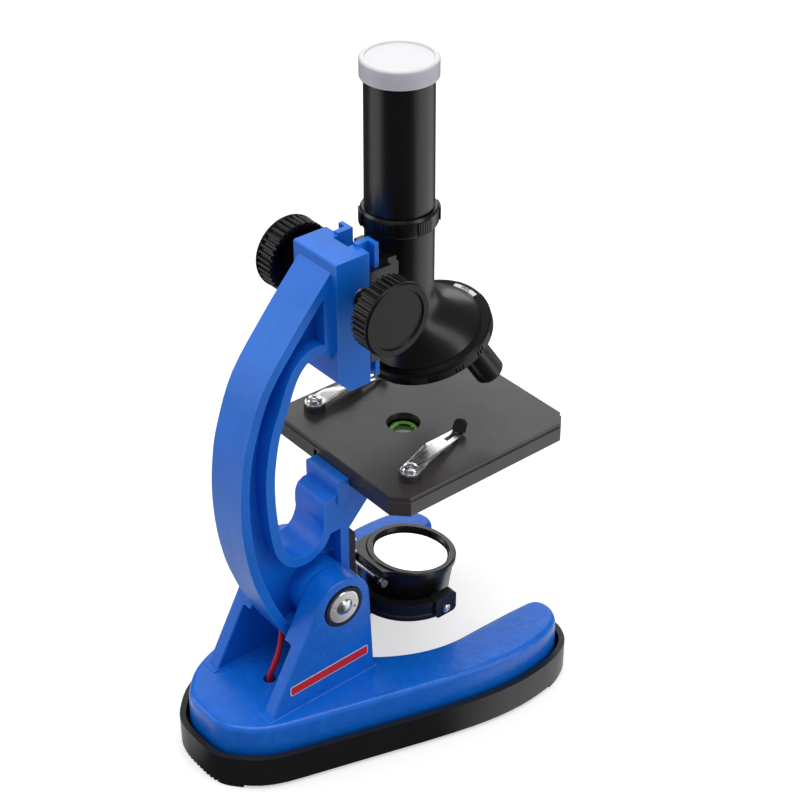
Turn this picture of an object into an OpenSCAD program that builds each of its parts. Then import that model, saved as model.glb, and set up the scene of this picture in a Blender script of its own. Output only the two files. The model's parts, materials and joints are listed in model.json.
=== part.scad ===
// Toy laboratory microscope on a tilting C-shaped arm
//
// A child's compound microscope: horseshoe base with two pivot lugs over a
// battery tray, a C-shaped arm moulded in two halves, rack-and-pinion focus,
// a slanted three-objective turret, an eyepiece with a dust cap, a stage with
// two slide clips and a colour wheel under it, and a mirror drum with a lamp
// on its underside in a fork below the stage.
//
// Millimetres, +Z up. Origin on the floor under the middle of the footprint.
// X runs along the focus shaft, the tips of the horseshoe point to -Y (front)
// and the arm stands at +Y (back). The main bodies are symmetric about x = 0.

/* [Base] */
// Height of the top of the base casting above the floor
base_top = 22.7; // [20:0.1:26]
// Height of the tray rim above the floor
tray_rim = 12.8; // [10:0.1:16]
// Thickness of the foot pads
foot_t = 1.4; // [0.8:0.1:3]
// Gap between the casting and the tray wall
tray_gap = 1.3; // [0.8:0.1:3]
// Wall thickness of the base casting
base_wall = 2.6; // [2:0.1:4]

/* [Pivot] */
// Distance of the tilt pivot behind the origin
pivot_y = 17.6; // [12:0.1:24]
// Height of the tilt pivot
pivot_z = 54.6; // [48:0.1:62]
// Outer faces of the lugs, measured from the middle plane
lug_out = 18; // [15:0.1:22]
// Inner faces of the lugs below the pivot boss
lug_in = 12.8; // [11:0.1:14]
// Inner faces of the lug bosses round the pivot
lug_boss_in = 9.2; // [9:0.1:12]
// Radius of the round top of a lug
lug_r = 10.6; // [9:0.1:13]
// Height of the step on the inner side of a lug
lug_step = 44.6; // [36:0.1:48]
// Radius of the pivot bolt
bolt_r = 2.5; // [2:0.1:4]

/* [Arm] */
// Half width of the flanges of the arm
arm_hw = 7.5; // [5:0.1:9]
// Thickness of the lips along the edge of the arm
arm_lip = 3.2; // [2.5:0.1:4.5]
// Half thickness of the web between the lips
web_h = 1.6; // [1:0.1:3]
// Half width of the head block that carries the focus shaft
head_hw = 10.1; // [8:0.1:12]
// Top of the head block
head_top = 172.9; // [165:0.1:180]
// Bottom of the head block
head_bot = 128.2; // [120:0.1:135]
// Front face of the head block
head_front = -0.6; // [-3:0.1:2]
// Back face of the head block
head_back = 11.5; // [9:0.1:14]

/* [Focus] */
// Distance of the focus shaft behind the origin
shaft_y = 2.2; // [1:0.1:4]
// Height of the focus shaft
shaft_z = 158.9; // [150:0.1:165]
// Tooth module of the rack and pinion
gear_m = 0.7; // [0.5:0.05:1]
// Number of teeth on the pinion
gear_n = 14; // [12:1:18]
// Outer radius of the focus knobs
knob_r = 11.9; // [9:0.1:15]
// Outer face of a focus knob, measured from the middle plane
knob_out = 26.8; // [22:0.1:32]
// Width of the ribbed rim of a knob
knob_w = 7.2; // [4:0.1:9]
// Number of ribs round a knob
knob_ribs = 36; // [18:2:48]

/* [Optics] */
// Y of the optical axis
axis_y = -20.2; // [-26:0.1:-18]
// Outer radius of the body tube and the eyepiece tube
tube_r = 10.6; // [9:0.1:12]
// Inner radius of the body tube
tube_bore = 8.8; // [7:0.1:9.5]
// Height of the top face of the ribbed collar
collar_top = 178; // [172:0.1:185]
// Height of the ribbed collar
collar_h = 5.8; // [4:0.1:9]
// Outer radius of the ribbed collar
collar_r = 12.3; // [11.5:0.1:14]
// Height of the top of the dust cap, the highest point
cap_top = 224.8; // [215:0.1:235]
// Height of the dust cap
cap_h = 5.8; // [4:0.1:10]
// Outer radius of the dust cap
cap_r = 11.6; // [11:0.1:14]

/* [Turret] */
// Tilt of the turret axis
turret_tilt = 19.4; // [10:0.1:30]
// Radius of the turret disc
turret_r = 21.6; // [18:0.1:25]
// Thickness of the turret disc
turret_t = 4.5; // [3:0.1:7]
// Height of the middle of the top face of the turret disc
turret_z = 131.4; // [125:0.1:138]
// Y of the middle of the top face of the turret disc
turret_y = -30.2; // [-36:0.1:-28]
// Radius of the bell above the turret
bell_r = 19; // [16:0.1:21]
// Outer radius of an objective barrel
obj_r = 4.9; // [4:0.1:6]
// Heights of the ends of the short, medium and long objectives when in use
obj_end = [116.6, 111.4, 106.5]; // [100:0.1:125]

/* [Stage] */
// Height of the top of the stage
stage_top = 98.6; // [92:0.1:104]
// Thickness of the stage with its skirt
stage_t = 6.7; // [5:0.1:9]
// Half width of the stage
stage_hw = 32.7; // [28:0.1:38]
// Back edge of the stage
stage_back = 6.9; // [4:0.1:10]
// Front edge of the stage
stage_front = -65; // [-70:0.1:-60]
// Corner cut of the stage
stage_cut = 4.6; // [2:0.1:8]
// Radius of the light hole
hole_r = 5.5; // [4:0.1:8]
// Y of the centre of the light hole
hole_y = -21.8; // [-26:0.1:-18]
// Side distance of the clip screws
clip_x = 24.2; // [20:0.1:28]
// Y of the clip screws
clip_y = -4.5; // [-8:0.1:2]

/* [Mirror] */
// Y of the mirror pivot
mirror_y = -23.7; // [-28:0.1:-18]
// Height of the mirror pivot
mirror_z = 33; // [26:0.1:38]
// Outer radius of the mirror drum
drum_r = 15.4; // [12:0.1:18]
// Radius of the mirror glass
glass_r = 12.6; // [10:0.1:15]
// Height of the mirror rim above the pivot
drum_up = 12.3; // [9:0.1:16]
// Resting tilt of the mirror
mirror_tilt = 7.3; // [0:0.1:20]

/* [Hidden] */
overlap = 0.02;                   // sinks one solid into its neighbour
n_arc = 72;                       // facets of a large round face

blue = [0.07, 0.36, 0.82];
black = [0.05, 0.05, 0.055];
foot_black = [0.09, 0.09, 0.09];
steel = [0.78, 0.79, 0.8];
dark = [0.16, 0.15, 0.15];
brass = [0.75, 0.6, 0.2];
wire_red = [0.8, 0.06, 0.05];
lens_tint = [0.8, 0.9, 0.95];
cap_clear = [0.85, 0.88, 0.9, 0.6];
filter_green = [0.35, 0.75, 0.2, 0.7];
mirror_white = [0.95, 0.96, 0.98];
lamp_white = [0.9, 0.9, 0.85];

// ---------- curves ----------
// point at t = 0..1 on the Catmull-Rom piece from b to c
function spline_point(a, b, c, d, t) =
  0.5 * ((2 * b) + (c - a) * t + (2 * a - 5 * b + 4 * c - d) * t * t
  + (3 * b - a - 3 * c + d) * t * t * t);

// Catmull-Rom curve through the points, with so many steps between two points
function curve(points, steps) = let (n = len(points)) concat(
  [for (i = [0 : n - 2], j = [0 : steps - 1])
    spline_point(points[max(i - 1, 0)], points[i], points[i + 1],
                 points[min(i + 2, n - 1)], j / steps)],
  [points[n - 1]]);

// where the line from a point touches a circle; side = 1 or -1
function tangent(point, centre, radius, side) =
  let (v = point - centre,
       angle = atan2(v[1], v[0]) + side * acos(radius / norm(v)))
  centre + radius * [cos(angle), sin(angle)];

// involute of the unit circle, t in degrees
function involute(t) = [cos(t) + t * PI / 180 * sin(t), sin(t) - t * PI / 180 * cos(t)];

// ---------- shared pieces ----------
// the children and their mirror image in the middle plane
module both_sides() for (s = [1, -1]) scale([s, 1, 1]) children();

// the children at x and again at -x, not mirrored
module pair(x, y, z = 0) for (s = [1, -1]) translate([s * x, y, z]) children();

// turns the +Z of the children to +X
module along_x(place) translate(place) rotate([0, 90, 0]) children();

// cylinder along +X from x0 to x1
module x_cylinder(x0, x1, r, y, z, n = n_arc)
  along_x([x0, y, z]) cylinder(r = r, h = x1 - x0, $fn = n);

// side view with the coordinates (y, z), extruded along +X from x0
module x_extrude(x0, width)
  translate([x0, 0, 0]) rotate([90, 0, 90]) linear_extrude(width) children();

// pan-head screw with a cross slot, head up, shank down from z = 0
module screw(head_r, head_h, shank_r, shank_l) {
  difference() {
    rotate_extrude($fn = 36) polygon([
      [0, 0], [head_r, 0], [head_r, head_h * 0.45], [head_r * 0.82, head_h * 0.8],
      [head_r * 0.45, head_h], [0, head_h]]);
    for (a = [0, 90]) rotate(a)
      translate([-head_r * 0.55, -0.3, head_h * 0.45]) cube([head_r * 1.1, 0.6, head_h]);
  }
  translate([0, 0, -shank_l]) cylinder(r = shank_r, h = shank_l + overlap, $fn = 24);
}

// ---------- base ----------
tray_floor = foot_t + 1.8;
tray_screw_at = [[34.6, -44], [17, 40]];  // x, y on the right side
wire_at = [-1.2, 35.8];                   // x, y of the lamp wire in the base
wire_r = 0.9;
foot_front_y = -49;                       // back edge of the front feet
foot_back_y = 58.6;                       // front edge of the back foot

// half outline of the casting (x, y), from the back round the leg to the crotch
base_half = curve([
  [0, 61.7], [7, 61.3], [12.6, 58.6], [20.3, 49.5], [26.6, 31], [39.2, -9.7],
  [43.4, -30], [43.3, -46], [40.4, -55.6], [36, -59.4], [31, -60.2], [27, -57.6],
  [25.9, -50], [25.3, -36], [24.6, -21], [20.6, -8.6], [13.2, 2.8], [6.6, 6.3], [0, 7]], 4);

module base_2d() polygon(concat(base_half,
  [for (i = [len(base_half) - 2 : -1 : 1]) [-base_half[i][0], base_half[i][1]]]));
module tray_2d(grow) offset(delta = grow) base_2d();
module at_tray_screws() for (p = tray_screw_at) pair(p[0], p[1]) children();

module lug() {
  centre = [pivot_y, pivot_z];
  front_foot = [5.4, base_top - 2];
  back_foot = [48, base_top - 2];
  difference() {
    union() {
      // thick at the top, thinned on the inner side below the step
      difference() {
        union() {
          x_extrude(lug_boss_in, lug_out - lug_boss_in) polygon([
            front_foot, tangent(front_foot, centre, lug_r, -1), centre,
            tangent(back_foot, centre, lug_r, 1), back_foot]);
          x_cylinder(lug_boss_in, lug_out, lug_r, pivot_y, pivot_z);
        }
        translate([lug_boss_in - 5, -20, 0])
          cube([lug_in - lug_boss_in + 5, 100, lug_step]);
      }
      // pad round the foot of the lug
      translate([lug_in - 0.6, front_foot[0] - 0.8, base_top - 2])
        cube([lug_out - lug_in + 1.2, 45, 2.7]);
    }
    x_cylinder(0, 30, bolt_r + 0.02, pivot_y, pivot_z);
    // washer recess
    x_cylinder(lug_out - 1.8, 30, 7.2, pivot_y, pivot_z);
  }
}

module base_casting() color(blue) difference() {
  union() {
    difference() {
      translate([0, 0, tray_floor + 0.8]) linear_extrude(base_top - tray_floor - 0.8) base_2d();
      translate([0, 0, tray_floor - 1]) linear_extrude(base_top - 3 - tray_floor + 1)
        offset(delta = -base_wall) base_2d();
    }
    both_sides() lug();
    // posts for the tray screws
    at_tray_screws() translate([0, 0, tray_floor + 0.02])
      cylinder(r = 3.2, h = base_top - 2 - tray_floor, $fn = 36);
  }
  at_tray_screws() cylinder(r = 1.02, h = 13, $fn = 24);
  // hole for the lamp wire
  translate([wire_at[0], wire_at[1], base_top - 5]) cylinder(r = 2.2, h = 10, $fn = 36);
}

// ---------- tray, door and batteries ----------
door_screw_at = [15, 34];
cell_x = 5.8;                             // side distance of a battery
cell_z = tray_floor + 5.5;
cell_back = 55.9;                         // Y of the back ends of the batteries
contact_y = [56.0, 10.9];                 // front faces of the contacts, back and front
contact_t = 0.35;

module base_tray() color(black) difference() {
  union() {
    difference() {
      translate([0, 0, foot_t]) linear_extrude(tray_rim - foot_t) tray_2d(tray_gap + 2);
      translate([0, 0, tray_floor]) linear_extrude(20) tray_2d(tray_gap);
    }
    translate([0, 0, tray_floor - overlap]) {
      // post for the door screw
      translate([door_screw_at[0] + 0.6, door_screw_at[1], 0]) cylinder(r = 2.6, h = 6, $fn = 36);
      // battery box walls: sides, front and back
      both_sides() translate([11.7, 9.9, 0]) cube([0.9, 43, 10]);
      translate([-12.6, 9.9, 0]) cube([25.2, 0.8, 10]);
      translate([-8.6, 56.4, 0]) cube([17.2, 0.8, 10]);
    }
  }
  // tray screw holes with head recesses
  at_tray_screws() {
    cylinder(r = 1.3, h = 6, $fn = 24);
    cylinder(r = 2.6, h = foot_t + 0.9, $fn = 36);
  }
  // battery door opening, recess for its tab and hole for its screw
  translate([-11.7, 10.7, 0]) cube([23.4, 45.7, tray_floor + 1]);
  translate([11, 30.8, 0]) cube([7.7, 6.4, foot_t + 1.6]);
  translate(door_screw_at) cylinder(r = 0.97, h = 10, $fn = 24);
}

module tray_screws() color(steel) at_tray_screws()
  translate([0, 0, foot_t + 0.88]) rotate([180, 0, 0]) screw(2.4, 0.8, 1, 9.5);

module feet() color(foot_black) {
  // one pad under each tip of the horseshoe, and the row of screws left clear
  linear_extrude(foot_t) difference() {
    intersection() {
      tray_2d(tray_gap + 1.6);
      translate([-60, foot_front_y - 31]) square([120, 31]);
    }
    pair(tray_screw_at[0][0], tray_screw_at[0][1]) circle(r = 3.2, $fn = 36);
  }
  // the back foot has grip grooves
  difference() {
    linear_extrude(foot_t) intersection() {
      tray_2d(tray_gap + 1.6);
      translate([-60, foot_back_y]) square([120, 20]);
    }
    for (x = [-9 : 1.8 : 9]) translate([x - 0.45, 50, -1]) cube([0.9, 40, 1.6]);
  }
}

module battery_door() color(black) difference() {
  union() {
    translate([-11.5, 10.9, foot_t]) cube([23, 45.3, 1.5]);
    translate([11, 31, foot_t]) cube([7.5, 6, 1.5]);
  }
  translate(door_screw_at) {
    cylinder(r = 1.2, h = 8, $fn = 24);
    cylinder(r = 2.2, h = foot_t + 0.8, $fn = 36);
  }
  // finger grooves
  for (i = [0 : 4]) translate([-6, 46 + i * 1.8, 0]) cube([12, 0.8, foot_t + 0.5]);
}

module door_screw() color(steel)
  translate([door_screw_at[0], door_screw_at[1], foot_t + 0.78])
    rotate([180, 0, 0]) screw(2, 0.7, 0.95, 6.5);

// the right battery has its pole at the front, the left one at the back
module batteries() color(brass)
  for (s = [1, -1]) translate([s * cell_x, 0, cell_z]) rotate([90, 0, 0]) {
    translate([0, 0, s > 0 ? -cell_back : 0.8 - cell_back]) cylinder(r = 5.2, h = 43.7, $fn = 36);
    translate([0, 0, s > 0 ? -12.22 : -cell_back]) cylinder(r = 1.9, h = 0.82, $fn = 24);
  }

module battery_contacts() color(steel) {
  for (y = contact_y) pair(cell_x, y, tray_floor + 1.5)
    translate([-4, 0, 0]) cube([8, contact_t, 8]);
  // bridge between the two back contacts
  translate([-cell_x, contact_y[0], tray_floor + 4]) cube([2 * cell_x, contact_t, 3]);
}

// ---------- lamp wire ----------
arm_wire_y = 29.3;

module wire(x, y, z0, z1) color(wire_red)
  translate([x, y, z0]) cylinder(r = wire_r, h = z1 - z0, $fn = 24);
module wire_in_base() wire(wire_at[0], wire_at[1], 14, 28.5);
module wire_in_arm() wire(0, arm_wire_y, 37.4, 50);

// ---------- tilt pivot ----------
pivot_fit_r = bolt_r + 0.03;              // bore of the washers and caps

module pivot_bolt() color(steel) {
  x_cylinder(-lug_out + 0.2, lug_out - 0.2, bolt_r, pivot_y, pivot_z, 48);
  // domed ends
  both_sides() along_x([lug_out - 0.25, pivot_y, pivot_z]) rotate_extrude($fn = 48)
    polygon([[0, 0], [3.0, 0], [3.0, 0.5], [2.5, 1.0], [1.4, 1.45], [0, 1.6]]);
}

module pivot_washers() color(black) both_sides() difference() {
  x_cylinder(lug_out - 1.78, lug_out + 0.35, 7.15, pivot_y, pivot_z);
  x_cylinder(lug_out - 0.9, lug_out + 1, 6.1, pivot_y, pivot_z);
  x_cylinder(lug_out - 3, lug_out + 1, pivot_fit_r, pivot_y, pivot_z, 48);
}

module pivot_caps() color(steel) both_sides() difference() {
  along_x([lug_out - 0.88, pivot_y, pivot_z]) rotate_extrude($fn = n_arc) polygon([
    [pivot_fit_r, 0], [6.05, 0], [6.05, 1.0], [5.7, 1.3], [3.1, 1.3], [3.1, 0.6],
    [pivot_fit_r, 0.6]]);
  // two pin holes on a slanted line
  for (t = [4.35, -4.35])
    x_cylinder(lug_out - 0.2, lug_out + 2, 0.55, pivot_y + t * cos(20), pivot_z + t * sin(20), 24);
}

// ---------- arm ----------
half_gap = 0.04;                          // each half starts this far from the middle plane
pillar_front = 6.9;                       // Y of the front face above the pivot
bracket_top = stage_top - stage_t - 0.02;
tab_y = stage_back + 0.15;                // front face of the tab behind the stage
rail_x = 3.5;                             // inner face of a rail
rail_front = -5.4;
rail_h = head_top - head_bot + 0.9;
stage_screw_at = [4.4, -3];               // x, y
fork_screw_x = 2.2;
fork_screw_z = [59.6, 64.4];
// y, z and x of the head seat of the screws that join the halves
arm_screw_at = [[7.4, 137, 8.1], [7.6, 168.4, 8.1], [11, 82, 5.5], [24.4, 56.4, 6.9]];

// back edge of the arm (y, z), from the head down to the heel
arm_outer = curve([
  [11.5, 169.4], [18, 162.3], [25.2, 154.2], [37.2, 139], [43.6, 123.4], [46.2, 111.6],
  [47.2, 98.6], [46.5, 85.2], [44.4, 73], [41.6, 63.6], [37.4, 52.6], [31.6, 41.6]], 4);
// inner edge of the C (y, z), from the bracket up to the head
arm_inner = curve([
  [15.2, 88.2], [16.3, 85.9], [16.6, 82], [16.5, 79], [18.2, 75], [21.4, 72.6], [25, 72],
  [28.9, 73.9], [32.2, 79.6], [33.9, 90.4], [34.4, 100.6], [33.9, 109.6], [31.8, 120.6],
  [28.3, 129.4], [25, 137.4], [21.4, 141.9], [17.2, 143.4], [13.6, 142.2], [11.5, 139.8]], 3);

// whole side view of the arm below the head
module arm_2d() polygon(concat(
  arm_outer,
  [[25, 43.2], [17.6, 46], [8.2, 51], [pillar_front, 56], [pillar_front, 74.4], [-8.1, 90.4],
   [-8.1, bracket_top], [tab_y, bracket_top], [tab_y, 89.4], [13, 89.4]],
  arm_inner,
  [[11, 139.8], [11, 169.4]]));

module arm_half() difference() {
  union() {
    // web with lips all round
    x_extrude(half_gap, web_h) arm_2d();
    x_extrude(half_gap, arm_hw) difference() {
      arm_2d();
      offset(delta = -arm_lip) arm_2d();
    }
    // solid bracket under the stage
    x_extrude(half_gap, arm_hw) intersection() {
      arm_2d();
      translate([-20, 76]) square([37.2, 30]);
    }
    // tab behind the stage skirt
    translate([half_gap, tab_y, 86]) cube([8.2, 4.2, 8.6]);
    // head block
    x_extrude(half_gap, head_hw) polygon([
      [head_front, head_bot], [head_back - 4.4, head_bot], [head_back, head_bot + 4.4],
      [head_back, head_top - 0.4], [head_back - 0.4, head_top], [head_front, head_top]]);
    // rail and its outward lip
    translate([rail_x, rail_front, head_bot]) cube([2, 5.6, rail_h]);
    translate([rail_x, rail_front, head_bot]) cube([5, 1.5, rail_h]);
    // pivot barrel
    x_cylinder(half_gap, lug_boss_in - 0.25, 10.2, pivot_y, pivot_z);
  }
  // channel for the rack and chamber for the pinion
  translate([-1, -8, head_bot - 1]) cube([rail_x + 1, 10, head_top - head_bot + 2]);
  x_cylinder(-1, rail_x, 6.3, shaft_y, shaft_z);
  // bores for the focus shaft and the pivot bolt
  x_cylinder(-1, 20, 2.06, shaft_y, shaft_z, 48);
  x_cylinder(-1, 20, bolt_r + 0.06, pivot_y, pivot_z, 48);
  // slot in the chamfer of the head
  translate([1.2, head_back - 3.2, head_bot + 0.8]) rotate([45, 0, 0]) cube([5.6, 1.0, 1.0]);
  // pocket for the screw that fixes the stage
  translate([stage_screw_at[0], stage_screw_at[1], 70]) {
    cylinder(r = 1.25, h = 30, $fn = 24);
    cylinder(r = 2.4, h = 18.4, $fn = 36);
  }
  // passage for the lamp wire
  translate([0, arm_wire_y, 36]) cylinder(r = 1.25, h = 16, $fn = 24);
  // holes for the fork screws
  for (z = fork_screw_z) translate([fork_screw_x, 0, z])
    rotate([-90, 0, 0]) cylinder(r = 0.98, h = 13, $fn = 24);
}

// the left half takes the screw threads
module arm_left() color(blue) difference() {
  scale([-1, 1, 1]) arm_half();
  for (p = arm_screw_at) x_cylinder(-6, 1, 0.98, p[0], p[1], 24);
}

// the right half has clearance holes and head recesses
module arm_right() color(blue) difference() {
  arm_half();
  for (p = arm_screw_at) {
    x_cylinder(-1, 30, 1.22, p[0], p[1], 24);
    x_cylinder(p[2], 30, 2.2, p[0], p[1], 36);
  }
}

module arm_screws() color(steel) for (p = arm_screw_at)
  along_x([p[2] + 0.02, p[0], p[1]]) screw(2.1, 1.3, 0.96, min(p[2] + 5.5, 12));
module stage_screws() color(steel) pair(stage_screw_at[0], stage_screw_at[1], 88.38)
  rotate([180, 0, 0]) screw(2.2, 1.3, 1.2, 6.6);

// ---------- focus ----------
pressure = 20;                            // pressure angle of the teeth
pitch_r = gear_m * gear_n / 2;
pitch = PI * gear_m;
root_r = pitch_r - 0.95 * gear_m;
gear_w = 6.4;                             // face width of the pinion and the rack
shaft_bore_r = 2.01;

// pinion tooth pointing to +X, thinned a little for running clearance
module tooth_2d() {
  gear_base_r = pitch_r * cos(pressure);
  tip_r = pitch_r + 0.8 * gear_m;
  half_angle = 90 / gear_n + tan(pressure) * 180 / PI - pressure - 1.1;
  roll_max = sqrt(tip_r * tip_r / gear_base_r / gear_base_r - 1) * 180 / PI;
  foot_x = root_r - 0.4;
  foot_y = root_r * sin(half_angle);
  flank = [for (i = [0 : 6]) let (q = gear_base_r * involute(roll_max * i / 6))
    [q[0] * cos(half_angle) + q[1] * sin(half_angle),
     q[0] * sin(half_angle) - q[1] * cos(half_angle)]];
  polygon(concat([[foot_x, foot_y]], flank,
    [for (i = [6 : -1 : 0]) [flank[i][0], -flank[i][1]]], [[foot_x, -foot_y]]));
}

// shaft and pinion in one
module pinion() color(steel) {
  x_cylinder(-knob_out + 3.5, knob_out - 3.5, 2, shaft_y, shaft_z, 48);
  along_x([-gear_w / 2, shaft_y, shaft_z]) linear_extrude(gear_w) {
    circle(r = root_r, $fn = 48);
    for (i = [0 : gear_n - 1]) rotate(i * 360 / gear_n) tooth_2d();
  }
}

module knob() along_x([0, shaft_y, shaft_z]) difference() {
  union() {
    // hub
    translate([0, 0, head_hw + 0.55]) cylinder(r = 3, h = knob_out - head_hw - 3, $fn = 48);
    // ribbed rim
    translate([0, 0, knob_out - knob_w]) linear_extrude(knob_w - 1.1) union() {
      circle(r = knob_r - 0.95, $fn = n_arc);
      for (i = [0 : knob_ribs - 1]) rotate(i * 360 / knob_ribs)
        translate([knob_r - 0.75, 0]) circle(r = 0.62, $fn = 12);
    }
    translate([0, 0, knob_out - knob_w]) cylinder(r = knob_r - 1.2, h = knob_w - 0.6, $fn = n_arc);
    // plain ring round the face
    translate([0, 0, knob_out - 1.2]) rotate_extrude($fn = n_arc) polygon([
      [0, 0], [knob_r - 0.5, 0], [knob_r, 0.35], [knob_r - 0.1, 0.85], [knob_r - 0.7, 1.2],
      [9.5, 1.2], [9.1, 0.5], [0, 0.2]]);
  }
  cylinder(r = shaft_bore_r, h = knob_out - 3.4, $fn = 48);
  // the back of the rim is hollowed
  translate([0, 0, knob_out - knob_w - 1]) rotate_extrude($fn = n_arc)
    polygon([[5.6, 0], [10, 0], [10, 4.2], [5.6, 4.2]]);
}
module knob_left() color(black) scale([-1, 1, 1]) knob();
module knob_right() color(black) knob();

module knob_washers() color(steel) both_sides() difference() {
  x_cylinder(head_hw + 0.04, head_hw + 0.5, 3.5, shaft_y, shaft_z, 48);
  x_cylinder(0, 30, shaft_bore_r, shaft_y, shaft_z, 48);
}

rack_bot = 135;
rack_top = 166;
rack_l = rack_top - rack_bot;
slide_hw = 10.1;                          // half width of the rack slide
slide_front = -9;
bar_front = -6;
slide_screw_x = 6;
slide_screw_z = [140, 161];

// rack tooth pointing to +Y, with the pitch line on y = 0
module rack_tooth_2d() {
  reach = 0.75 * gear_m;
  foot_x = -reach - 0.3;
  foot_half = 0.27 * pitch + reach * tan(pressure) - 0.03;
  tip_half = 0.25 * pitch - 0.05 - reach * tan(pressure);
  polygon([[foot_x, -foot_half], [reach, -tip_half], [reach, tip_half], [foot_x, foot_half]]);
}

module rack_slide() color(black) difference() {
  union() {
    // front plate and the two arms that hold the rail lips
    translate([-slide_hw, slide_front, rack_bot]) cube([2 * slide_hw, 3.45, rack_l]);
    both_sides() {
      translate([8.65, slide_front, rack_bot]) cube([1.45, 8.1, rack_l]);
      translate([5.75, -3.75, rack_bot]) cube([4.35, 2.85, rack_l]);
    }
    // rack bar with its teeth
    translate([-gear_w / 2, bar_front, rack_bot])
      cube([gear_w, shaft_y - pitch_r - bar_front - 0.75 * gear_m - 0.05, rack_l]);
    count = floor(rack_l / pitch) - 1;
    first = ceil((rack_bot + 1.2 - shaft_z) / pitch);
    for (k = [first : first + count - 1])
      translate([0, shaft_y - pitch_r, shaft_z + k * pitch])
        x_extrude(-gear_w / 2, gear_w) rack_tooth_2d();
  }
  // screw holes with head recesses
  for (z = slide_screw_z) pair(slide_screw_x, -5.5, z) rotate([90, 0, 0]) {
    cylinder(r = 1.02, h = 10, $fn = 24);
    translate([0, 0, -0.1]) cylinder(r = 2.1, h = 1.6, $fn = 36);
  }
}

module slide_screws() color(steel) for (z = slide_screw_z)
  pair(slide_screw_x, -6.98, z) rotate([-90, 0, 0]) screw(2, 1.2, 1, 4.4);

// ---------- turret frames ----------
disc_z = turret_z - (axis_y - turret_y) * tan(turret_tilt);  // top of the disc on the optical axis
disc_bot = disc_z - turret_t / cos(turret_tilt);
click_r = 10.5;                           // radius of the circle of click dimples
obj_place = [0, 2, 1];                    // places of the short, medium and long objectives

// the tilted frame of the turret: z = 0 on its top face
module on_turret() translate([0, turret_y, turret_z]) rotate([-turret_tilt, 0, 0]) children();

// frame of one objective inside that of the turret: z runs up the objective axis,
// 0 at the top of the disc. Place 0 is at the back and stands upright.
module obj_axis(place) rotate(place * 120)
  translate([0, (axis_y - turret_y) / cos(turret_tilt), 0]) rotate([turret_tilt, 0, 0]) children();

// ---------- tubes ----------
module on_axis(z = 0) translate([0, axis_y, z]) children();

// thin slice of the bell, from the tube at t = 0 to the turret at t = 1
module bell_slice(t) {
  y_end = turret_y + 0.4;
  z_start = turret_z + 24;
  z_end = turret_z + 0.6;
  translate([0, axis_y + (y_end - axis_y) * pow(t, 1.35), z_start + (z_end - z_start) * t])
    rotate([-turret_tilt * pow(t, 0.9), 0, 0])
      cylinder(r = tube_r + (bell_r - tube_r) * pow(t, 1.6), h = 0.4, $fn = 48);
}

module body_tube() color(black) difference() {
  union() {
    on_axis(132) cylinder(r = tube_r, h = collar_top - 0.3 - 132, $fn = n_arc);
    // bell, bent forward from the tube to the turret
    for (i = [0 : 5]) hull() {
      bell_slice(i / 6);
      bell_slice((i + 1) / 6);
    }
    on_turret() translate([0, 0.4, 0.25]) cylinder(r = bell_r, h = 0.8, $fn = n_arc);
    // pad for the rack slide
    translate([-8, -14.5, rack_bot + 1]) cube([16, 5.45, rack_l - 2]);
    translate([-8, -12.6, rack_top - 3]) cube([16, 3.55, 4]);
  }
  on_axis(110) cylinder(r = 5.6, h = 80, $fn = 48);
  on_axis(141) cylinder(r = tube_bore, h = 60, $fn = n_arc);
  on_turret() {
    // everything stays above the turret disc
    translate([0, 0, 0.2 - 30]) cylinder(r = 40, h = 30, $fn = n_arc);
    // hole for the turret screw
    cylinder(r = 1.27, h = 9, $fn = 36);
    // click-spring seat
    translate([0, -click_r, 0]) cylinder(r = 1.6, h = 3.2, $fn = 36);
  }
  // holes for the slide screws
  for (z = slide_screw_z) pair(slide_screw_x, 0, z)
    rotate([90, 0, 0]) cylinder(r = 1.02, h = 12.4, $fn = 24);
}

module collar() color(black) on_axis() {
  collar_bot = collar_top - collar_h;
  collar_in = tube_r + 0.06;
  translate([0, 0, collar_bot]) rotate_extrude($fn = n_arc) polygon([
    [collar_in, 0], [collar_r - 0.9, 0], [collar_r - 0.5, 0.8],
    [collar_r - 0.5, collar_h - 0.8], [collar_r - 1.0, collar_h], [collar_in, collar_h]]);
  // six groups of seven ribs
  translate([0, 0, collar_bot + 0.7]) linear_extrude(collar_h - 1.6) difference() {
    for (g = [0 : 5], i = [-3 : 3]) rotate(g * 60 + i * 3.6)
      translate([collar_r - 1.4, -0.25]) square([1.4, 0.5]);
    circle(r = tube_r + 0.3, $fn = n_arc);
  }
}

eye_sleeve = 22;                          // length of the sleeve inside the body tube
sleeve_bot = collar_top - eye_sleeve;
eye_bore_r = 8.2;
eye_part_r = 8.18;                        // radius of the loose parts in that bore

module eyepiece_tube() color(black) on_axis() difference() {
  union() {
    translate([0, 0, collar_top + 0.02])
      cylinder(r1 = tube_r, r2 = tube_r - 0.25, h = cap_top - 1.5 - collar_top - 0.02, $fn = n_arc);
    translate([0, 0, sleeve_bot]) cylinder(r = tube_bore - 0.06, h = eye_sleeve + 1, $fn = n_arc);
  }
  translate([0, 0, sleeve_bot - 1]) cylinder(r = 7.2, h = 60, $fn = n_arc);
  translate([0, 0, 212]) cylinder(r = eye_bore_r, h = 30, $fn = n_arc);
  translate([0, 0, 190]) cylinder(r = 6, h = 30, $fn = n_arc);
  // seat of the field lens
  translate([0, 0, sleeve_bot - 1]) cylinder(r = 8, h = 3.5, $fn = n_arc);
}

module eye_spacer() color(black) on_axis() difference() {
  translate([0, 0, 212.02]) cylinder(r = eye_part_r, h = 1.96, $fn = n_arc);
  translate([0, 0, 211]) cylinder(r = 6.4, h = 4, $fn = n_arc);
}

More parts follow.
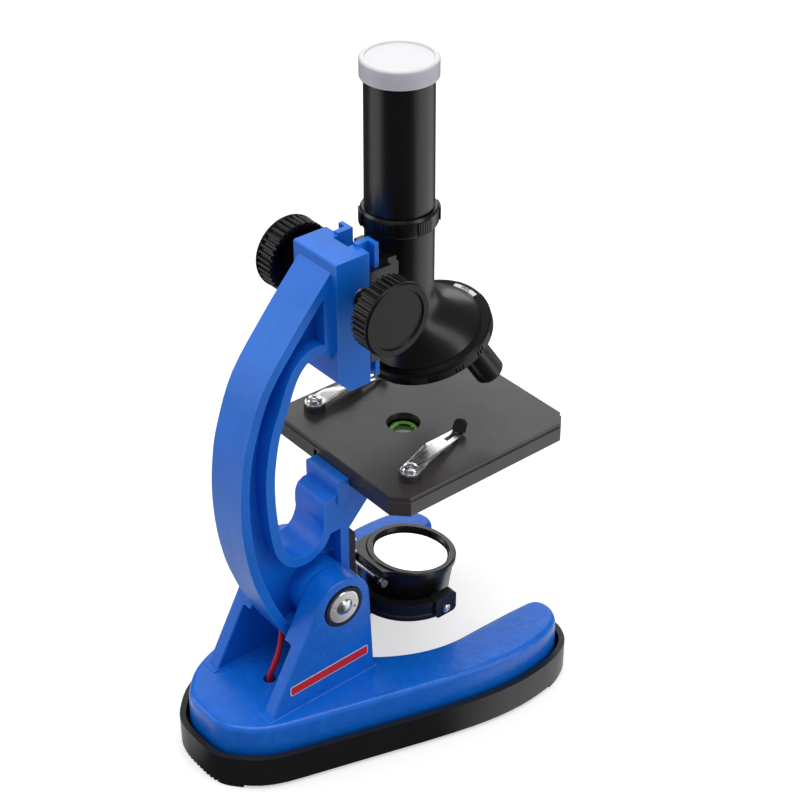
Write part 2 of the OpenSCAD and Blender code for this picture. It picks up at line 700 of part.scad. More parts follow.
module eye_lens() color(lens_tint) on_axis(214) rotate_extrude($fn = 48)
  polygon([[0, 0], [eye_part_r, 0], [eye_part_r, 1.6], [6, 2.4], [3, 2.9], [0, 3.1]]);

module eye_ring() color(black) on_axis() difference() {
  translate([0, 0, 217.2]) cylinder(r = eye_part_r, h = 5.4, $fn = n_arc);
  translate([0, 0, 217]) cylinder(r1 = 6.2, r2 = 7.4, h = 6, $fn = n_arc);
}

module field_lens() color(lens_tint) on_axis(sleeve_bot + 0.3) rotate_extrude($fn = 48)
  polygon([[0, 0], [3, 0.05], [7.98, 0.4], [7.98, 2.0], [4, 2.15], [0, 2.18]]);

module dust_cap() color(cap_clear) on_axis() rotate_extrude($fn = n_arc) polygon([
  [0, cap_top - 1.3], [cap_r - 0.95, cap_top - 1.3], [cap_r - 0.9, cap_top - cap_h],
  [cap_r, cap_top - cap_h], [cap_r, cap_top - 0.5], [cap_r - 0.5, cap_top],
  [cap_r - 1.5, cap_top], [cap_r - 1.8, cap_top - 0.5], [0, cap_top - 0.5]]);

// ---------- turret ----------
module turret_disc() color(black) on_turret() difference() {
  translate([0, 0, -turret_t]) rotate_extrude($fn = n_arc) polygon([
    [0, 0], [turret_r - 1.6, 0], [turret_r - 0.25, 0.7], [turret_r - 0.25, turret_t - 0.9],
    [turret_r - 0.8, turret_t], [0, turret_t]]);
  // grip grooves in threes round the edge
  for (g = [0 : 14], i = [-1 : 1]) rotate(g * 24 + i * 3.2)
    translate([turret_r - 0.72, -0.3, -turret_t + 1]) cube([2, 0.6, turret_t - 2.2]);
  cylinder(r = 1.32, h = 20, center = true, $fn = 36);
  for (i = [0 : 2]) obj_axis(i) cylinder(r = 3.52, h = 60, center = true, $fn = 48);
  // click dimples
  for (i = [0 : 2]) rotate(i * 120 + 180) translate([0, click_r, 0.6]) sphere(r = 1.1, $fn = 24);
}

module turret_screw() color(steel) on_turret()
  translate([0, 0, -turret_t - 0.06]) rotate([180, 0, 0]) screw(3, 1.6, 1.25, turret_t + 8);
module turret_spring() color(steel) on_turret()
  translate([0, -click_r, 0.95]) cylinder(r = 1.45, h = 2.1, $fn = 24);

// kind = 0 short, 1 medium, 2 long
module objective(kind) color(black) on_turret() obj_axis(obj_place[kind]) {
  shoulder = disc_bot - disc_z - 0.9;     // just under the disc
  end = obj_end[kind] - disc_z;
  barrel_l = shoulder - end;
  difference() {
    union() {
      // neck through the disc
      translate([0, 0, shoulder]) cylinder(r = 3.5, h = -shoulder - 1.3, $fn = 48);
      // barrel
      translate([0, 0, end]) rotate_extrude($fn = 48) polygon([
        [0, 0], [obj_r - 0.9, 0], [obj_r - 0.1, 0.9], [obj_r, 1.2], [obj_r, barrel_l - 1.35],
        [obj_r - 0.4, barrel_l - 1.25], [0, barrel_l - 1.25]]);
      // joins the neck to the barrel
      translate([0, 0, shoulder - 1.3]) cylinder(r = 3.5, h = 2, $fn = 48);
    }
    // light bore and lens seat
    translate([0, 0, end - 1]) cylinder(r = 1.6, h = 80, $fn = 36);
    translate([0, 0, end - 1]) cylinder(r = 3, h = 1.9, $fn = 36);
  }
}
module objective_short() objective(0);
module objective_medium() objective(1);
module objective_long() objective(2);

module objective_lenses() color(lens_tint)
  for (kind = [0 : 2]) on_turret() obj_axis(obj_place[kind])
    translate([0, 0, obj_end[kind] - disc_z + 0.1]) rotate_extrude($fn = 36)
      polygon([[0, -0.05], [1.6, 0], [2.98, 0.2], [2.98, 0.78], [0, 0.78]]);

// ---------- stage ----------
stage_bot = stage_top - stage_t;
wheel_y = -39.6;                          // Y of the centre of the colour wheel
wheel_z = stage_top - 4.6;
filter_y = hole_y - wheel_y;              // from the wheel centre to a filter

module stage_2d(grow = 0) offset(delta = grow) polygon([
  [-stage_hw, stage_back - stage_cut], [-stage_hw + stage_cut, stage_back],
  [stage_hw - stage_cut, stage_back], [stage_hw, stage_back - stage_cut],
  [stage_hw, stage_front + stage_cut], [stage_hw - stage_cut, stage_front],
  [-stage_hw + stage_cut, stage_front], [-stage_hw, stage_front + stage_cut]]);

module stage_plate() color(dark) difference() {
  union() {
    // plate and skirt
    translate([0, 0, stage_top - 2.4]) linear_extrude(2.4) stage_2d(-0.45);
    translate([0, 0, stage_bot]) linear_extrude(stage_t - 1.6) difference() {
      stage_2d();
      stage_2d(-2);
    }
    // bosses above and below the plate for the clip screws
    pair(clip_x, clip_y, stage_top - overlap) cylinder(r = 3.5, h = 2.5, $fn = 48);
    pair(clip_x, clip_y, stage_top - 5.4) cylinder(r = 3, h = 3.2, $fn = 36);
    // seats for the bracket screws and the wheel pin
    translate([-9, -8.2, stage_bot]) cube([18, stage_back + 8.2 - 1, 5]);
    translate([0, wheel_y, stage_top - 2.9]) cylinder(r = 3, h = 1, $fn = 36);
  }
  translate([0, hole_y, stage_top - 10]) cylinder(r = hole_r, h = 20, $fn = n_arc);
  pair(clip_x, clip_y, stage_top - 20) cylinder(r = 1.27, h = 40, $fn = 36);
  pair(stage_screw_at[0], stage_screw_at[1], stage_bot - 1) cylinder(r = 1.22, h = 4.4, $fn = 24);
  translate([0, wheel_y, stage_top - 12]) cylinder(r = 1.27, h = 11, $fn = 36);
  // narrow notch in the back skirt and wide notch in the front skirt
  translate([8.3, stage_back - 0.9, stage_bot - 1]) cube([1.6, 3, 5]);
  translate([-14, stage_front - 1, stage_bot - 1]) cube([28, 4, 3.4]);
}

// ---------- clips ----------
clip_z = stage_top + 2.5;                 // underside of a strip at its screw
clip_t = 0.5;
clip_len = 28;                            // from the screw to the start of the curl
clip_drop = 2.1;
clip_curl = 62;                           // angle of the curled end
clip_turn = [17, -2];                     // inward swing of the left and the right clip

// side = -1 left, 1 right; the origin is the clip screw and the strip points to -Y
module clip_at(side) translate([side * clip_x, clip_y, clip_z])
  scale([-side, 1, 1]) rotate(clip_turn[side < 0 ? 0 : 1]) children();

// side view of the bent strip: flat at the screw, down to the slide, then curled up
module clip_side() {
  curl_end = [-clip_len - 3 * cos(clip_curl), -clip_drop + 3 * sin(clip_curl)];
  polygon([
    [3.4, 0], [-5, 0], [-clip_len, -clip_drop], curl_end,
    curl_end + clip_t * [sin(clip_curl), cos(clip_curl)],
    [-clip_len + 0.285, -clip_drop + 0.528], [-5.02, clip_t], [3.4, clip_t]]);
}

module clip_strip() color(steel) difference() {
  intersection() {
    x_extrude(-5, 10) clip_side();
    // plan view: round at the screw, tapering, narrow at the curl
    translate([0, 0, -6]) union() {
      cylinder(r = 3.2, h = 14, $fn = 64);
      linear_extrude(14) polygon([
        [-3.1, -0.6], [3.1, -0.6], [2.04, -27.2], [1.5, -27.25], [1.5, -32],
        [-1.5, -32], [-1.5, -27.25], [-2.04, -27.2]]);
    }
  }
  translate([0, 0, -1]) cylinder(r = 1.35, h = 3, $fn = 36);
  // long slot
  translate([-0.65, -27, -6]) cube([1.3, 6.8, 12]);
}
module clip_left() clip_at(-1) clip_strip();
module clip_right() clip_at(1) clip_strip();

// sleeve on the curled end
module clip_tip() color(black)
  translate([0, -clip_len, -clip_drop]) rotate([-clip_curl, 0, 0]) difference() {
    translate([0, 0, -0.75]) linear_extrude(2) {
      translate([-2, -2.7]) square([4, 2.2]);
      translate([0, -2.7]) circle(r = 2, $fn = 48);
    }
    translate([-1.54, -3.04, -0.03]) cube([3.08, 4, 0.56]);
  }
module clip_tip_left() clip_at(-1) clip_tip();
module clip_tip_right() clip_at(1) clip_tip();

module clip_screws() color(steel) pair(clip_x, clip_y, clip_z + 0.6) screw(2.6, 1.5, 1.25, 9);

// ---------- colour wheel ----------
// disc with ribs that fill a share of its rim
module ribbed_disc(radius, count, depth, share) {
  rib_w = 2 * PI * radius / count * share;
  circle(r = radius - depth, $fn = n_arc);
  for (i = [0 : count - 1]) rotate(i * 360 / count)
    translate([radius - depth - 0.8, -rib_w / 2]) square([depth + 0.8, rib_w]);
}

module filter_wheel() color(black) translate([0, wheel_y, wheel_z]) difference() {
  linear_extrude(1.5) difference() {
    ribbed_disc(radius = 22.8, count = 60, depth = 0.5, share = 0.25);
    circle(r = 1.32, $fn = 36);
    for (i = [0 : 5]) rotate(i * 60) translate([0, filter_y]) circle(r = 4.1, $fn = 48);
  }
  for (i = [0 : 5]) rotate(i * 60) translate([0, filter_y, 0.7]) cylinder(r = 4.6, h = 2, $fn = 48);
}

// five glasses; the sixth opening stays empty
module filter_glasses() color(filter_green) translate([0, wheel_y, wheel_z])
  for (i = [0 : 4]) rotate(i * 60)
    translate([0, filter_y, 0.72]) cylinder(r = 4.58, h = 0.7, $fn = 48);

module wheel_pin() color(steel) translate([0, wheel_y, wheel_z - 0.04])
  rotate([180, 0, 0]) screw(2.6, 1, 1.25, 3.4);

// ---------- mirror and lamp ----------
drum_dn = 3.8;                            // depth of the drum below its pivot
drum_h = drum_dn + drum_up;
rod_y = 17.3;                             // latch rod, in the frame of the mirror
rod_z = drum_up - 3.8;

module at_mirror() translate([0, mirror_y, mirror_z]) rotate([mirror_tilt, 0, 0]) children();

module mirror_drum() color(black) at_mirror() difference() {
  union() {
    translate([0, 0, -drum_dn]) rotate_extrude($fn = n_arc) polygon([
      [0, 0], [13.6, 0], [14.2, 0.6], [14.3, drum_dn + 1], [drum_r - 0.6, drum_h - 2.6],
      [drum_r, drum_h - 2.2], [drum_r, drum_h - 0.5], [drum_r - 0.5, drum_h], [0, drum_h]]);
    // pivot bosses
    both_sides() x_cylinder(11.8, 16.6, 3.2, 0, 0, 48);
    // flange behind the rim with two ears for the latch rod
    translate([0, 0, drum_up - 2.5]) linear_extrude(2)
      polygon([[14.4, 2], [14.6, 9], [11.6, 16.8], [-5.2, 16.8], [-9, 11]]);
    translate([8.8, 9.5, drum_up - 5]) cube([1.8, 9.1, 3]);
    translate([-5.2, 13, drum_up - 5]) cube([1.8, 5.6, 3]);
  }
  // flared rim and seat of the glass
  translate([0, 0, drum_up - 2.2])
    cylinder(r1 = glass_r + 0.05, r2 = glass_r + 0.9, h = 3, $fn = n_arc);
  translate([0, 0, drum_up - 3.4]) cylinder(r = glass_r, h = 3, $fn = n_arc);
  both_sides() x_cylinder(12.8, 20, 1.27, 0, 0, 36);
  // lamp well in the underside
  translate([0, 0, -drum_dn - 1]) cylinder(r1 = 8.8, r2 = 4.4, h = 6, $fn = 48);
  translate([0, 0, -drum_dn]) cylinder(r = 2.6, h = 10.8, $fn = 36);
  x_cylinder(-8, 13, 0.85, rod_y, rod_z, 24);
}

// rod with a thick left end
module latch_rod() color(steel) at_mirror() {
  x_cylinder(-6, 11.4, 0.8, rod_y, rod_z, 24);
  x_cylinder(-7.6, -5.4, 1.4, rod_y, rod_z, 24);
}

module mirror_glass() color(mirror_white) at_mirror()
  translate([0, 0, drum_up - 3.38]) cylinder(r = glass_r - 0.03, h = 1.9, $fn = n_arc);

// socket end up, domed end down
module lamp() color(lamp_white) at_mirror() translate([0, 0, 1.2]) {
  cylinder(r = 2.55, h = 5.6, $fn = 36);
  translate([0, 0, -1.4]) {
    cylinder(r = 2.2, h = 1.42, $fn = 36);
    rotate([180, 0, 0]) rotate_extrude($fn = 36)
      polygon([[0, 0], [2.2, 0], [1.9, 0.9], [1.2, 1.6], [0, 1.9]]);
  }
}

// ---------- fork ----------
fork_in = 16.9;                           // inner radius of the fork
fork_out = 19.6;
fork_h = 6.9;
fork_bot = mirror_z + 0.8 - fork_h / 2;
stem_front = 1.6;                         // front face of the upright stem
stem_back = pillar_front - 0.04;
stem_hw = 4;
stem_top = 68;

// rectangle from corner low to corner high with rounded corners
module rounded(low, high, r) {
  size = high - low;
  translate([low[0] + r, low[1]]) square([size[0] - 2 * r, size[1]]);
  translate([low[0], low[1] + r]) square([size[0], size[1] - 2 * r]);
  for (x = [low[0] + r, high[0] - r], y = [low[1] + r, high[1] - r])
    translate([x, y]) circle(r = r, $fn = 24);
}

module fork() color(black) difference() {
  union() {
    // half ring behind the mirror pivot
    translate([0, mirror_y, fork_bot]) rotate_extrude(angle = 180, $fn = 96) polygon([
      [fork_in, 0], [fork_out, 0], [fork_out, 1.5], [fork_out - 0.5, 1.9],
      [fork_out - 0.5, fork_h - 2], [fork_out, fork_h - 1.6], [fork_out, fork_h],
      [fork_in, fork_h]]);
    // ends of the ring with their pivot pads
    both_sides() {
      translate([fork_in, mirror_y - 4.4, fork_bot]) cube([fork_out - fork_in, 5, fork_h]);
      translate([0, mirror_y, mirror_z])
        x_extrude(fork_in - 0.02, 3.4) rounded([-4.4, -2.75], [4.4, 5.3], 1.6);
    }
    // stem back to the arm and up its pillar
    stem_y = mirror_y + fork_in + 0.6;
    translate([-stem_hw, stem_y, fork_bot]) cube([2 * stem_hw, stem_back - stem_y, fork_h]);
    translate([-stem_hw, stem_front, fork_bot])
      cube([2 * stem_hw, stem_back - stem_front, stem_top - fork_bot]);
  }
  both_sides() x_cylinder(10, 30, 1.32, mirror_y, mirror_z, 36);
  for (z = fork_screw_z) pair(fork_screw_x, 0, z)
    rotate([-90, 0, 0]) cylinder(r = 1.02, h = 13, $fn = 24);
  // clearance round the pivot barrel
  x_cylinder(-10, 10, 11.1, pivot_y, pivot_z);
}

module fork_screws() color(steel) for (z = fork_screw_z)
  pair(fork_screw_x, stem_front - 0.02, z) rotate([90, 0, 0]) screw(1.7, 0.9, 0.95, 9);
module fork_pins() color(steel) both_sides()
  along_x([fork_in + 3.42, mirror_y, mirror_z]) screw(1.5, 0.7, 1.25, 6.6);

// ---------- drawing ----------
base_casting();
base_tray();
tray_screws();
feet();
battery_door();
door_screw();
batteries();
battery_contacts();
wire_in_base();
wire_in_arm();
pivot_bolt();
pivot_washers();
pivot_caps();
arm_left();
arm_right();
arm_screws();
stage_screws();
pinion();
knob_left();
knob_right();
knob_washers();
rack_slide();
slide_screws();
body_tube();
collar();
eyepiece_tube();
eye_spacer();
eye_lens();
eye_ring();
field_lens();
dust_cap();
turret_disc();
turret_screw();
turret_spring();
objective_short();
objective_medium();
objective_long();
objective_lenses();
stage_plate();
clip_left();
clip_right();
clip_tip_left();
clip_tip_right();
clip_screws();
filter_wheel();
filter_glasses();
wheel_pin();
mirror_drum();
mirror_glass();
lamp();
latch_rod();
fork();
fork_screws();
fork_pins();
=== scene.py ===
"""A small tilting microscope: horseshoe base, arm on a pivot, stage with clips and a
colour wheel, turret and eyepiece tube.

+Z is up and X runs across, with x = 0 in the middle; -X is left and +X right. The base
opens towards -Y, and the stage and tube stand on the -Y side of the arm. Sizes are in
mm and are multiplied by MM when a mesh is built; lights and camera are in metres.
"""
import json
import math
import random

import bmesh
import bpy
from mathutils import Matrix, Vector


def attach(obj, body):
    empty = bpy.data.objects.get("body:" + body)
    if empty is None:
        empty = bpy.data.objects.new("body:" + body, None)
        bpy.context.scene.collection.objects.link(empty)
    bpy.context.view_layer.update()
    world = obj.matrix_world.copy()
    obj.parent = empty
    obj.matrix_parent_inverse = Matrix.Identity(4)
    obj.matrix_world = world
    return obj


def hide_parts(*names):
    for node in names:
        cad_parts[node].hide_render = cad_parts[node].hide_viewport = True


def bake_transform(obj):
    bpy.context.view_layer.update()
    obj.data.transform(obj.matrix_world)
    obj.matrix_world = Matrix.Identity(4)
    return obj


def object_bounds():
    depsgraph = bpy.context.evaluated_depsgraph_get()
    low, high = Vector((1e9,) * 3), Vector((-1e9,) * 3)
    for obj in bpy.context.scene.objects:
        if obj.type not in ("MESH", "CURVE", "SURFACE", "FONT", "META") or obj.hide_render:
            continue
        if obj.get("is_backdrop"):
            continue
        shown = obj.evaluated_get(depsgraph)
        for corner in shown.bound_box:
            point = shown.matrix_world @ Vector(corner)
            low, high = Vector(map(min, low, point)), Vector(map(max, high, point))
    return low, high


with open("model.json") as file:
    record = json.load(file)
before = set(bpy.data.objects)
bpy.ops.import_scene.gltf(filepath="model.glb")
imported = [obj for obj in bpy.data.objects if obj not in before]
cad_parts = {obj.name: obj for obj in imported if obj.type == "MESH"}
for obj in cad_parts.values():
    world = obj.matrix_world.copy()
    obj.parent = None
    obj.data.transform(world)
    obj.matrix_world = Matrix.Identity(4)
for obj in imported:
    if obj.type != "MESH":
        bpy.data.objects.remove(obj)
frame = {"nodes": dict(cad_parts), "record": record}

cad_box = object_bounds()
random.seed(7)
NODES = frame["nodes"]
MM = 0.001

# ---------------------------------------------------------------- shared places, in mm
BASE_TOP = 22.7
STAGE_TOP = 98.6
KNOB_CENTRE = (0, 2.2, 158.9)
TURRET_CENTRE = (0, -30.2, 131.4)
TURRET_RING_AXIS = (0, 0.3322, 0.9432)  # turret axis, as the material uses it
TURRET_TILT = math.radians(19.4)
TURRET_AXIS = Vector((0, math.sin(TURRET_TILT), math.cos(TURRET_TILT)))
TURRET_TURN = Matrix.Rotation(-TURRET_TILT, 3, "X")
WIRE_HOLE = (-1.2, 35.8)                # x, y in the top of the base


# ---------------------------------------------------------------- material builder
def is_socket(value):
    return hasattr(value, "is_output")


def scaled(colour, factor):
    return tuple(min(1, c * factor) for c in colour)


class Material:
    """A procedural material around one Principled node. Lengths are in mm."""

    def __init__(self, name):
        self.data = bpy.data.materials.new(name)
        self.data.use_nodes = True
        self.tree = self.data.node_tree
        self.tree.nodes.clear()
        self.output = self.node("OutputMaterial")
        self.principled = self.node("BsdfPrincipled")
        self.link(self.principled.outputs[0], self.output.inputs[0])
        self.coords = self.node("TexCoord").outputs["Object"]
        self.normal = None

    def node(self, kind):
        return self.tree.nodes.new("ShaderNode" + kind)

    def link(self, source, target):
        self.tree.links.new(source, target)

    def put(self, socket, value):
        """Links a socket to an input, or sets the input to a plain value."""
        if is_socket(value):
            self.link(value, socket)
        else:
            socket.default_value = value

    def set(self, **inputs):
        """Sets Principled inputs: specular_ior_level is Specular IOR Level."""
        for key, value in inputs.items():
            label = key.replace("_", " ").title().replace("Ior", "IOR")
            self.put(self.principled.inputs[label], value)

    def noise_node(self, size, detail, rough, distort=0.0):
        noise = self.node("TexNoise")
        noise.inputs["Scale"].default_value = 1000.0 / size
        noise.inputs["Detail"].default_value = detail
        noise.inputs["Roughness"].default_value = rough
        noise.inputs["Distortion"].default_value = distort
        return noise

    def noise(self, size, detail=3.0, rough=0.55, distort=0.0, stretch=None):
        noise = self.noise_node(size, detail, rough, distort)
        coords = self.coords
        if stretch:
            mapping = self.node("Mapping")
            mapping.inputs["Scale"].default_value = stretch
            self.link(coords, mapping.inputs["Vector"])
            coords = mapping.outputs[0]
        self.link(coords, noise.inputs["Vector"])
        return noise.outputs["Fac"]

    def cells(self, size, smooth, coords):
        voronoi = self.node("TexVoronoi")
        voronoi.feature = "SMOOTH_F1"
        voronoi.inputs["Scale"].default_value = 1000.0 / size
        voronoi.inputs["Smoothness"].default_value = smooth
        self.link(coords, voronoi.inputs["Vector"])
        return voronoi.outputs["Distance"]

    def warped(self, size, amount):
        """Object coordinates pushed about by noise."""
        noise = self.noise_node(size, detail=2.0, rough=0.5)
        self.link(self.coords, noise.inputs["Vector"])
        push = (amount * MM,) * 3
        return self.vector("MULTIPLY_ADD", noise.outputs["Color"], push, self.coords).outputs[0]

    def vector(self, operation, *values):
        node = self.node("VectorMath")
        node.operation = operation
        for socket, value in zip(node.inputs, values):
            self.put(socket, value)
        return node

    def math(self, operation, a, b=0.0, clamp=False):
        node = self.node("Math")
        node.operation = operation
        node.use_clamp = clamp
        self.put(node.inputs[0], a)
        self.put(node.inputs[1], b)
        return node.outputs[0]

    def ramp(self, value, to=(0, 1), over=(0.3, 0.7), interpolation="LINEAR"):
        """Maps the interval over onto the interval to."""
        node = self.node("MapRange")
        node.interpolation_type = interpolation
        self.put(node.inputs["Value"], value)
        for label, number in zip(("From Min", "From Max", "To Min", "To Max"), (*over, *to)):
            node.inputs[label].default_value = number
        return node.outputs[0]

    def mix(self, factor, a, b):
        """Mixes two colours, each a socket or an RGB triple."""
        node = self.node("Mix")
        node.data_type = "RGBA"
        self.put(node.inputs[0], factor)
        for socket, value in ((node.inputs[6], a), (node.inputs[7], b)):
            self.put(socket, value if is_socket(value) else (*value, 1.0))
        return node.outputs[2]

    def bump(self, height, depth, strength=1.0):
        """Adds a bump on top of the ones already there."""
        node = self.node("Bump")
        node.inputs["Strength"].default_value = strength
        node.inputs["Distance"].default_value = depth * MM
        self.link(height, node.inputs["Height"])
        if self.normal is not None:
            self.link(self.normal, node.inputs["Normal"])
        self.normal = node.outputs[0]
        self.link(self.normal, self.principled.inputs["Normal"])

    def radial(self, centre, axis):
        """Distance in mm from the line through centre along axis."""
        offset = self.vector("SUBTRACT", self.coords, [c * MM for c in centre])
        cross = self.vector("CROSS_PRODUCT", offset.outputs[0], Vector(axis).normalized())
        length = self.vector("LENGTH", cross.outputs[0])
        return self.math("MULTIPLY", length.outputs["Value"], 1000.0)

    def edges(self, radius, over=(0.03, 0.30)):
        """1 on convex and concave edges, 0 on flat faces."""
        bevel = self.node("Bevel")
        bevel.samples = 4
        bevel.inputs["Radius"].default_value = radius * MM
        normal = self.node("NewGeometry").outputs["Normal"]
        dot = self.vector("DOT_PRODUCT", bevel.outputs[0], normal)
        return self.ramp(self.math("SUBTRACT", 1.0, dot.outputs["Value"]), over=over)

    def geometry_part(self, output, part):
        """One of X, Y, Z of an output of the Geometry node."""
        geometry = self.node("NewGeometry")
        parts = self.node("SeparateXYZ")
        self.link(geometry.outputs[output], parts.inputs[0])
        return parts.outputs[part]


# ---------------------------------------------------------------- kinds of material
def plastic(name, colour, rough=0.25, vary=0.12, grain=0.6, grain_depth=0.006, coat=0.0,
            streak=True, tint=None, dust=0.0, spec=0.5):
    """Moulded plastic. vary: spread of tone; tint: its light end; dust: on upward faces."""
    mat = Material(name)
    broad = mat.noise(size=22, detail=4, rough=0.6)
    fine = mat.noise(size=grain, detail=3, rough=0.6)
    colour_out = mat.mix(mat.ramp(broad), scaled(colour, 1 - vary),
                         tint or scaled(colour, 1 + vary))
    if dust:
        specks = mat.ramp(mat.noise(size=1.6, detail=5, rough=0.75),
                          over=(0.60, 0.78), to=(0, dust))
        upward = mat.ramp(mat.geometry_part("Normal", "Z"), over=(0.2, 1.0))
        dusty = mat.math("MULTIPLY", specks, upward, clamp=True)
        colour_out = mat.mix(dusty, colour_out, (0.32, 0.31, 0.30))
    mat.set(base_color=colour_out, coat_weight=coat, coat_roughness=0.08,
            specular_ior_level=spec)
    scuffs = mat.noise(size=3.4, detail=4, rough=0.7, distort=0.4,
                       stretch=(1, 1, 0.3) if streak else None)
    mat.set(roughness=mat.math(
        "ADD", mat.ramp(scuffs, over=(0.35, 0.7), to=(rough * 0.92, rough * 1.10)),
        mat.ramp(fine, to=(-0.015, 0.02)), clamp=True))
    mat.bump(broad, depth=0.03, strength=0.25)
    mat.bump(fine, depth=grain_depth)
    return mat


def enamel(name, colour):
    """Enamel on a casting: orange peel and hammered skin, chipped on the edges and lighter blue in patches
    along them.
    """
    mat = Material(name)
    warp = mat.warped(size=3.0, amount=0.9)
    cells = mat.cells(size=1.5, smooth=0.8, coords=warp)
    sharpness = 2.2     # power that narrows the valleys of the peel
    peel = mat.math("SUBTRACT", 1.0, mat.math("POWER", cells, sharpness))
    soft = mat.noise(size=4.5, detail=3, rough=0.5)
    patch = mat.noise(size=26, detail=2, rough=0.5)
    colour_out = mat.mix(mat.ramp(soft), scaled(colour, 0.9), scaled(colour, 1.08))
    edge = mat.edges(radius=0.7)
    chip_noise = mat.noise(size=0.9, detail=5, rough=0.75, distort=0.6)
    chip = mat.math("MULTIPLY", edge, mat.ramp(chip_noise, over=(0.60, 0.68)), clamp=True)
    # lighter blue in patches along the edges
    lighter_edge = mat.ramp(mat.noise(size=3.0, detail=4, rough=0.7), over=(0.40, 0.65), to=(0, 0.55))
    lighter_edge = mat.math("MULTIPLY", edge, lighter_edge, clamp=True)
    colour_out = mat.mix(lighter_edge, colour_out, (0.14, 0.36, 0.86))
    colour_out = mat.mix(chip, colour_out, (0.58, 0.62, 0.68))
    mat.set(base_color=colour_out, coat_weight=0.1, coat_roughness=0.15,
            specular_ior_level=0.42)
    chip_rough = 0.2    # roughness added where a chip is bare
    mat.set(roughness=mat.math(
        "ADD", mat.ramp(mat.noise(size=1.4), to=(0.24, 0.38)),
        mat.math("MULTIPLY", chip, chip_rough), clamp=True))
    peel_amount = mat.ramp(patch, over=(0.35, 0.65), to=(0.35, 1.0))
    mat.bump(mat.math("MULTIPLY", peel, peel_amount), depth=0.10, strength=0.8)
    mat.bump(mat.noise(size=0.5, detail=2), depth=0.012)
    mat.bump(mat.math("SUBTRACT", 1.0, chip), depth=0.03)
    return mat


def turned(name, colour, rough, centre, axis, pitch):
    """Black plastic with the faint rings its mould was turned with."""
    mat = plastic(name, colour, rough=rough, vary=0.2, grain=0.35, grain_depth=0.005, spec=0.30)
    phase = mat.math("MULTIPLY", mat.radial(centre, axis), 2 * math.pi / pitch)
    mat.bump(mat.math("SINE", phase), depth=0.012)
    return mat


def paint_edge_highlights(mat, light, amount):
    """Paints highlights onto the edges: a lighter base colour there stands in for the glints along them.
    """
    edge = mat.edges(radius=0.7)
    strength = mat.ramp(mat.noise(size=4.0, detail=3, rough=0.6), to=(amount * 0.6, amount))
    factor = mat.math("MULTIPLY", edge, strength, clamp=True)
    under = mat.principled.inputs["Base Color"].links[0].from_socket
    mat.set(base_color=mat.mix(factor, under, light))


def metal(name, colour, rough, brush=(0.15, 1, 1)):
    """Brushed metal; brush stretches the noise along its smallest component."""
    mat = Material(name)
    blots = mat.noise(size=6, detail=4, rough=0.65)
    colour_out = mat.mix(mat.ramp(blots), scaled(colour, 0.82), colour)
    edge_light = 0.5    # share of the lighter colour on the edges
    edge = mat.math("MULTIPLY", mat.edges(radius=0.25, over=(0.05, 0.4)), edge_light)
    colour_out = mat.mix(edge, colour_out, scaled(colour, 1.2))
    mat.set(base_color=colour_out, metallic=1.0)
    brushed = mat.noise(size=0.5, detail=4, rough=0.7, distort=0.1, stretch=brush)
    mat.set(roughness=mat.ramp(brushed, over=(0.3, 0.75), to=(rough * 0.7, rough * 1.5)))
    mat.bump(brushed, depth=0.006)
    mat.bump(blots, depth=0.02, strength=0.4)
    return mat


def glass(name, colour, rough=0.03, transmission=1.0):
    mat = Material(name)
    waves = mat.noise(size=3, detail=4, rough=0.6)
    mat.set(base_color=mat.mix(mat.ramp(waves), scaled(colour, 0.94), colour),
            roughness=mat.ramp(mat.noise(size=0.8, detail=4, rough=0.75),
                               over=(0.45, 0.8), to=(rough, rough + 0.12)),
            transmission_weight=transmission, ior=1.5)
    mat.bump(waves, depth=0.004, strength=0.4)
    return mat


def clear_cap():
    """Cloudy clear plastic, less clear on the faces that look up, and painted whiter there as if lit from
    above.
    """
    mat = Material("cap_clear")
    broad = mat.noise(size=7, detail=4, rough=0.6)
    top = mat.ramp(mat.geometry_part("Normal", "Z"), over=(0.45, 0.85))
    sides = mat.mix(mat.ramp(broad), (0.84, 0.85, 0.95), (0.90, 0.91, 0.96))
    # painted light: the upward faces get a whiter colour
    mat.set(base_color=mat.mix(top, sides, (0.95, 0.94, 0.96)),
            transmission_weight=mat.ramp(top, over=(0, 1), to=(0.50, 0.34)), ior=1.46,
            roughness=mat.ramp(mat.noise(size=1.2, detail=4, rough=0.7),
                               over=(0.3, 0.8), to=(0.30, 0.52)))
    mat.bump(broad, depth=0.03, strength=0.5)
    mat.bump(mat.noise(size=0.5), depth=0.008)
    return mat


def mirror_silver():
    mat = Material("mirror_silver")
    broad = mat.noise(size=5, detail=4, rough=0.6)
    mat.set(base_color=mat.mix(mat.ramp(broad), (0.93, 0.94, 0.95), (0.97, 0.97, 0.98)),
            metallic=1.0,
            roughness=mat.ramp(mat.noise(size=1.0, detail=5, rough=0.8),
                               over=(0.5, 0.85), to=(0.02, 0.16)))
    mat.bump(broad, depth=0.003, strength=0.4)
    return mat


# ---------------------------------------------------------------- materials
blue_enamel = enamel("blue_enamel", (0.0025, 0.142, 0.68))
blue_plastic = plastic("blue_plastic", (0.0025, 0.145, 0.68), rough=0.36, vary=0.08, grain=0.45,
                       grain_depth=0.004, tint=(0.003, 0.165, 0.74), spec=0.36)
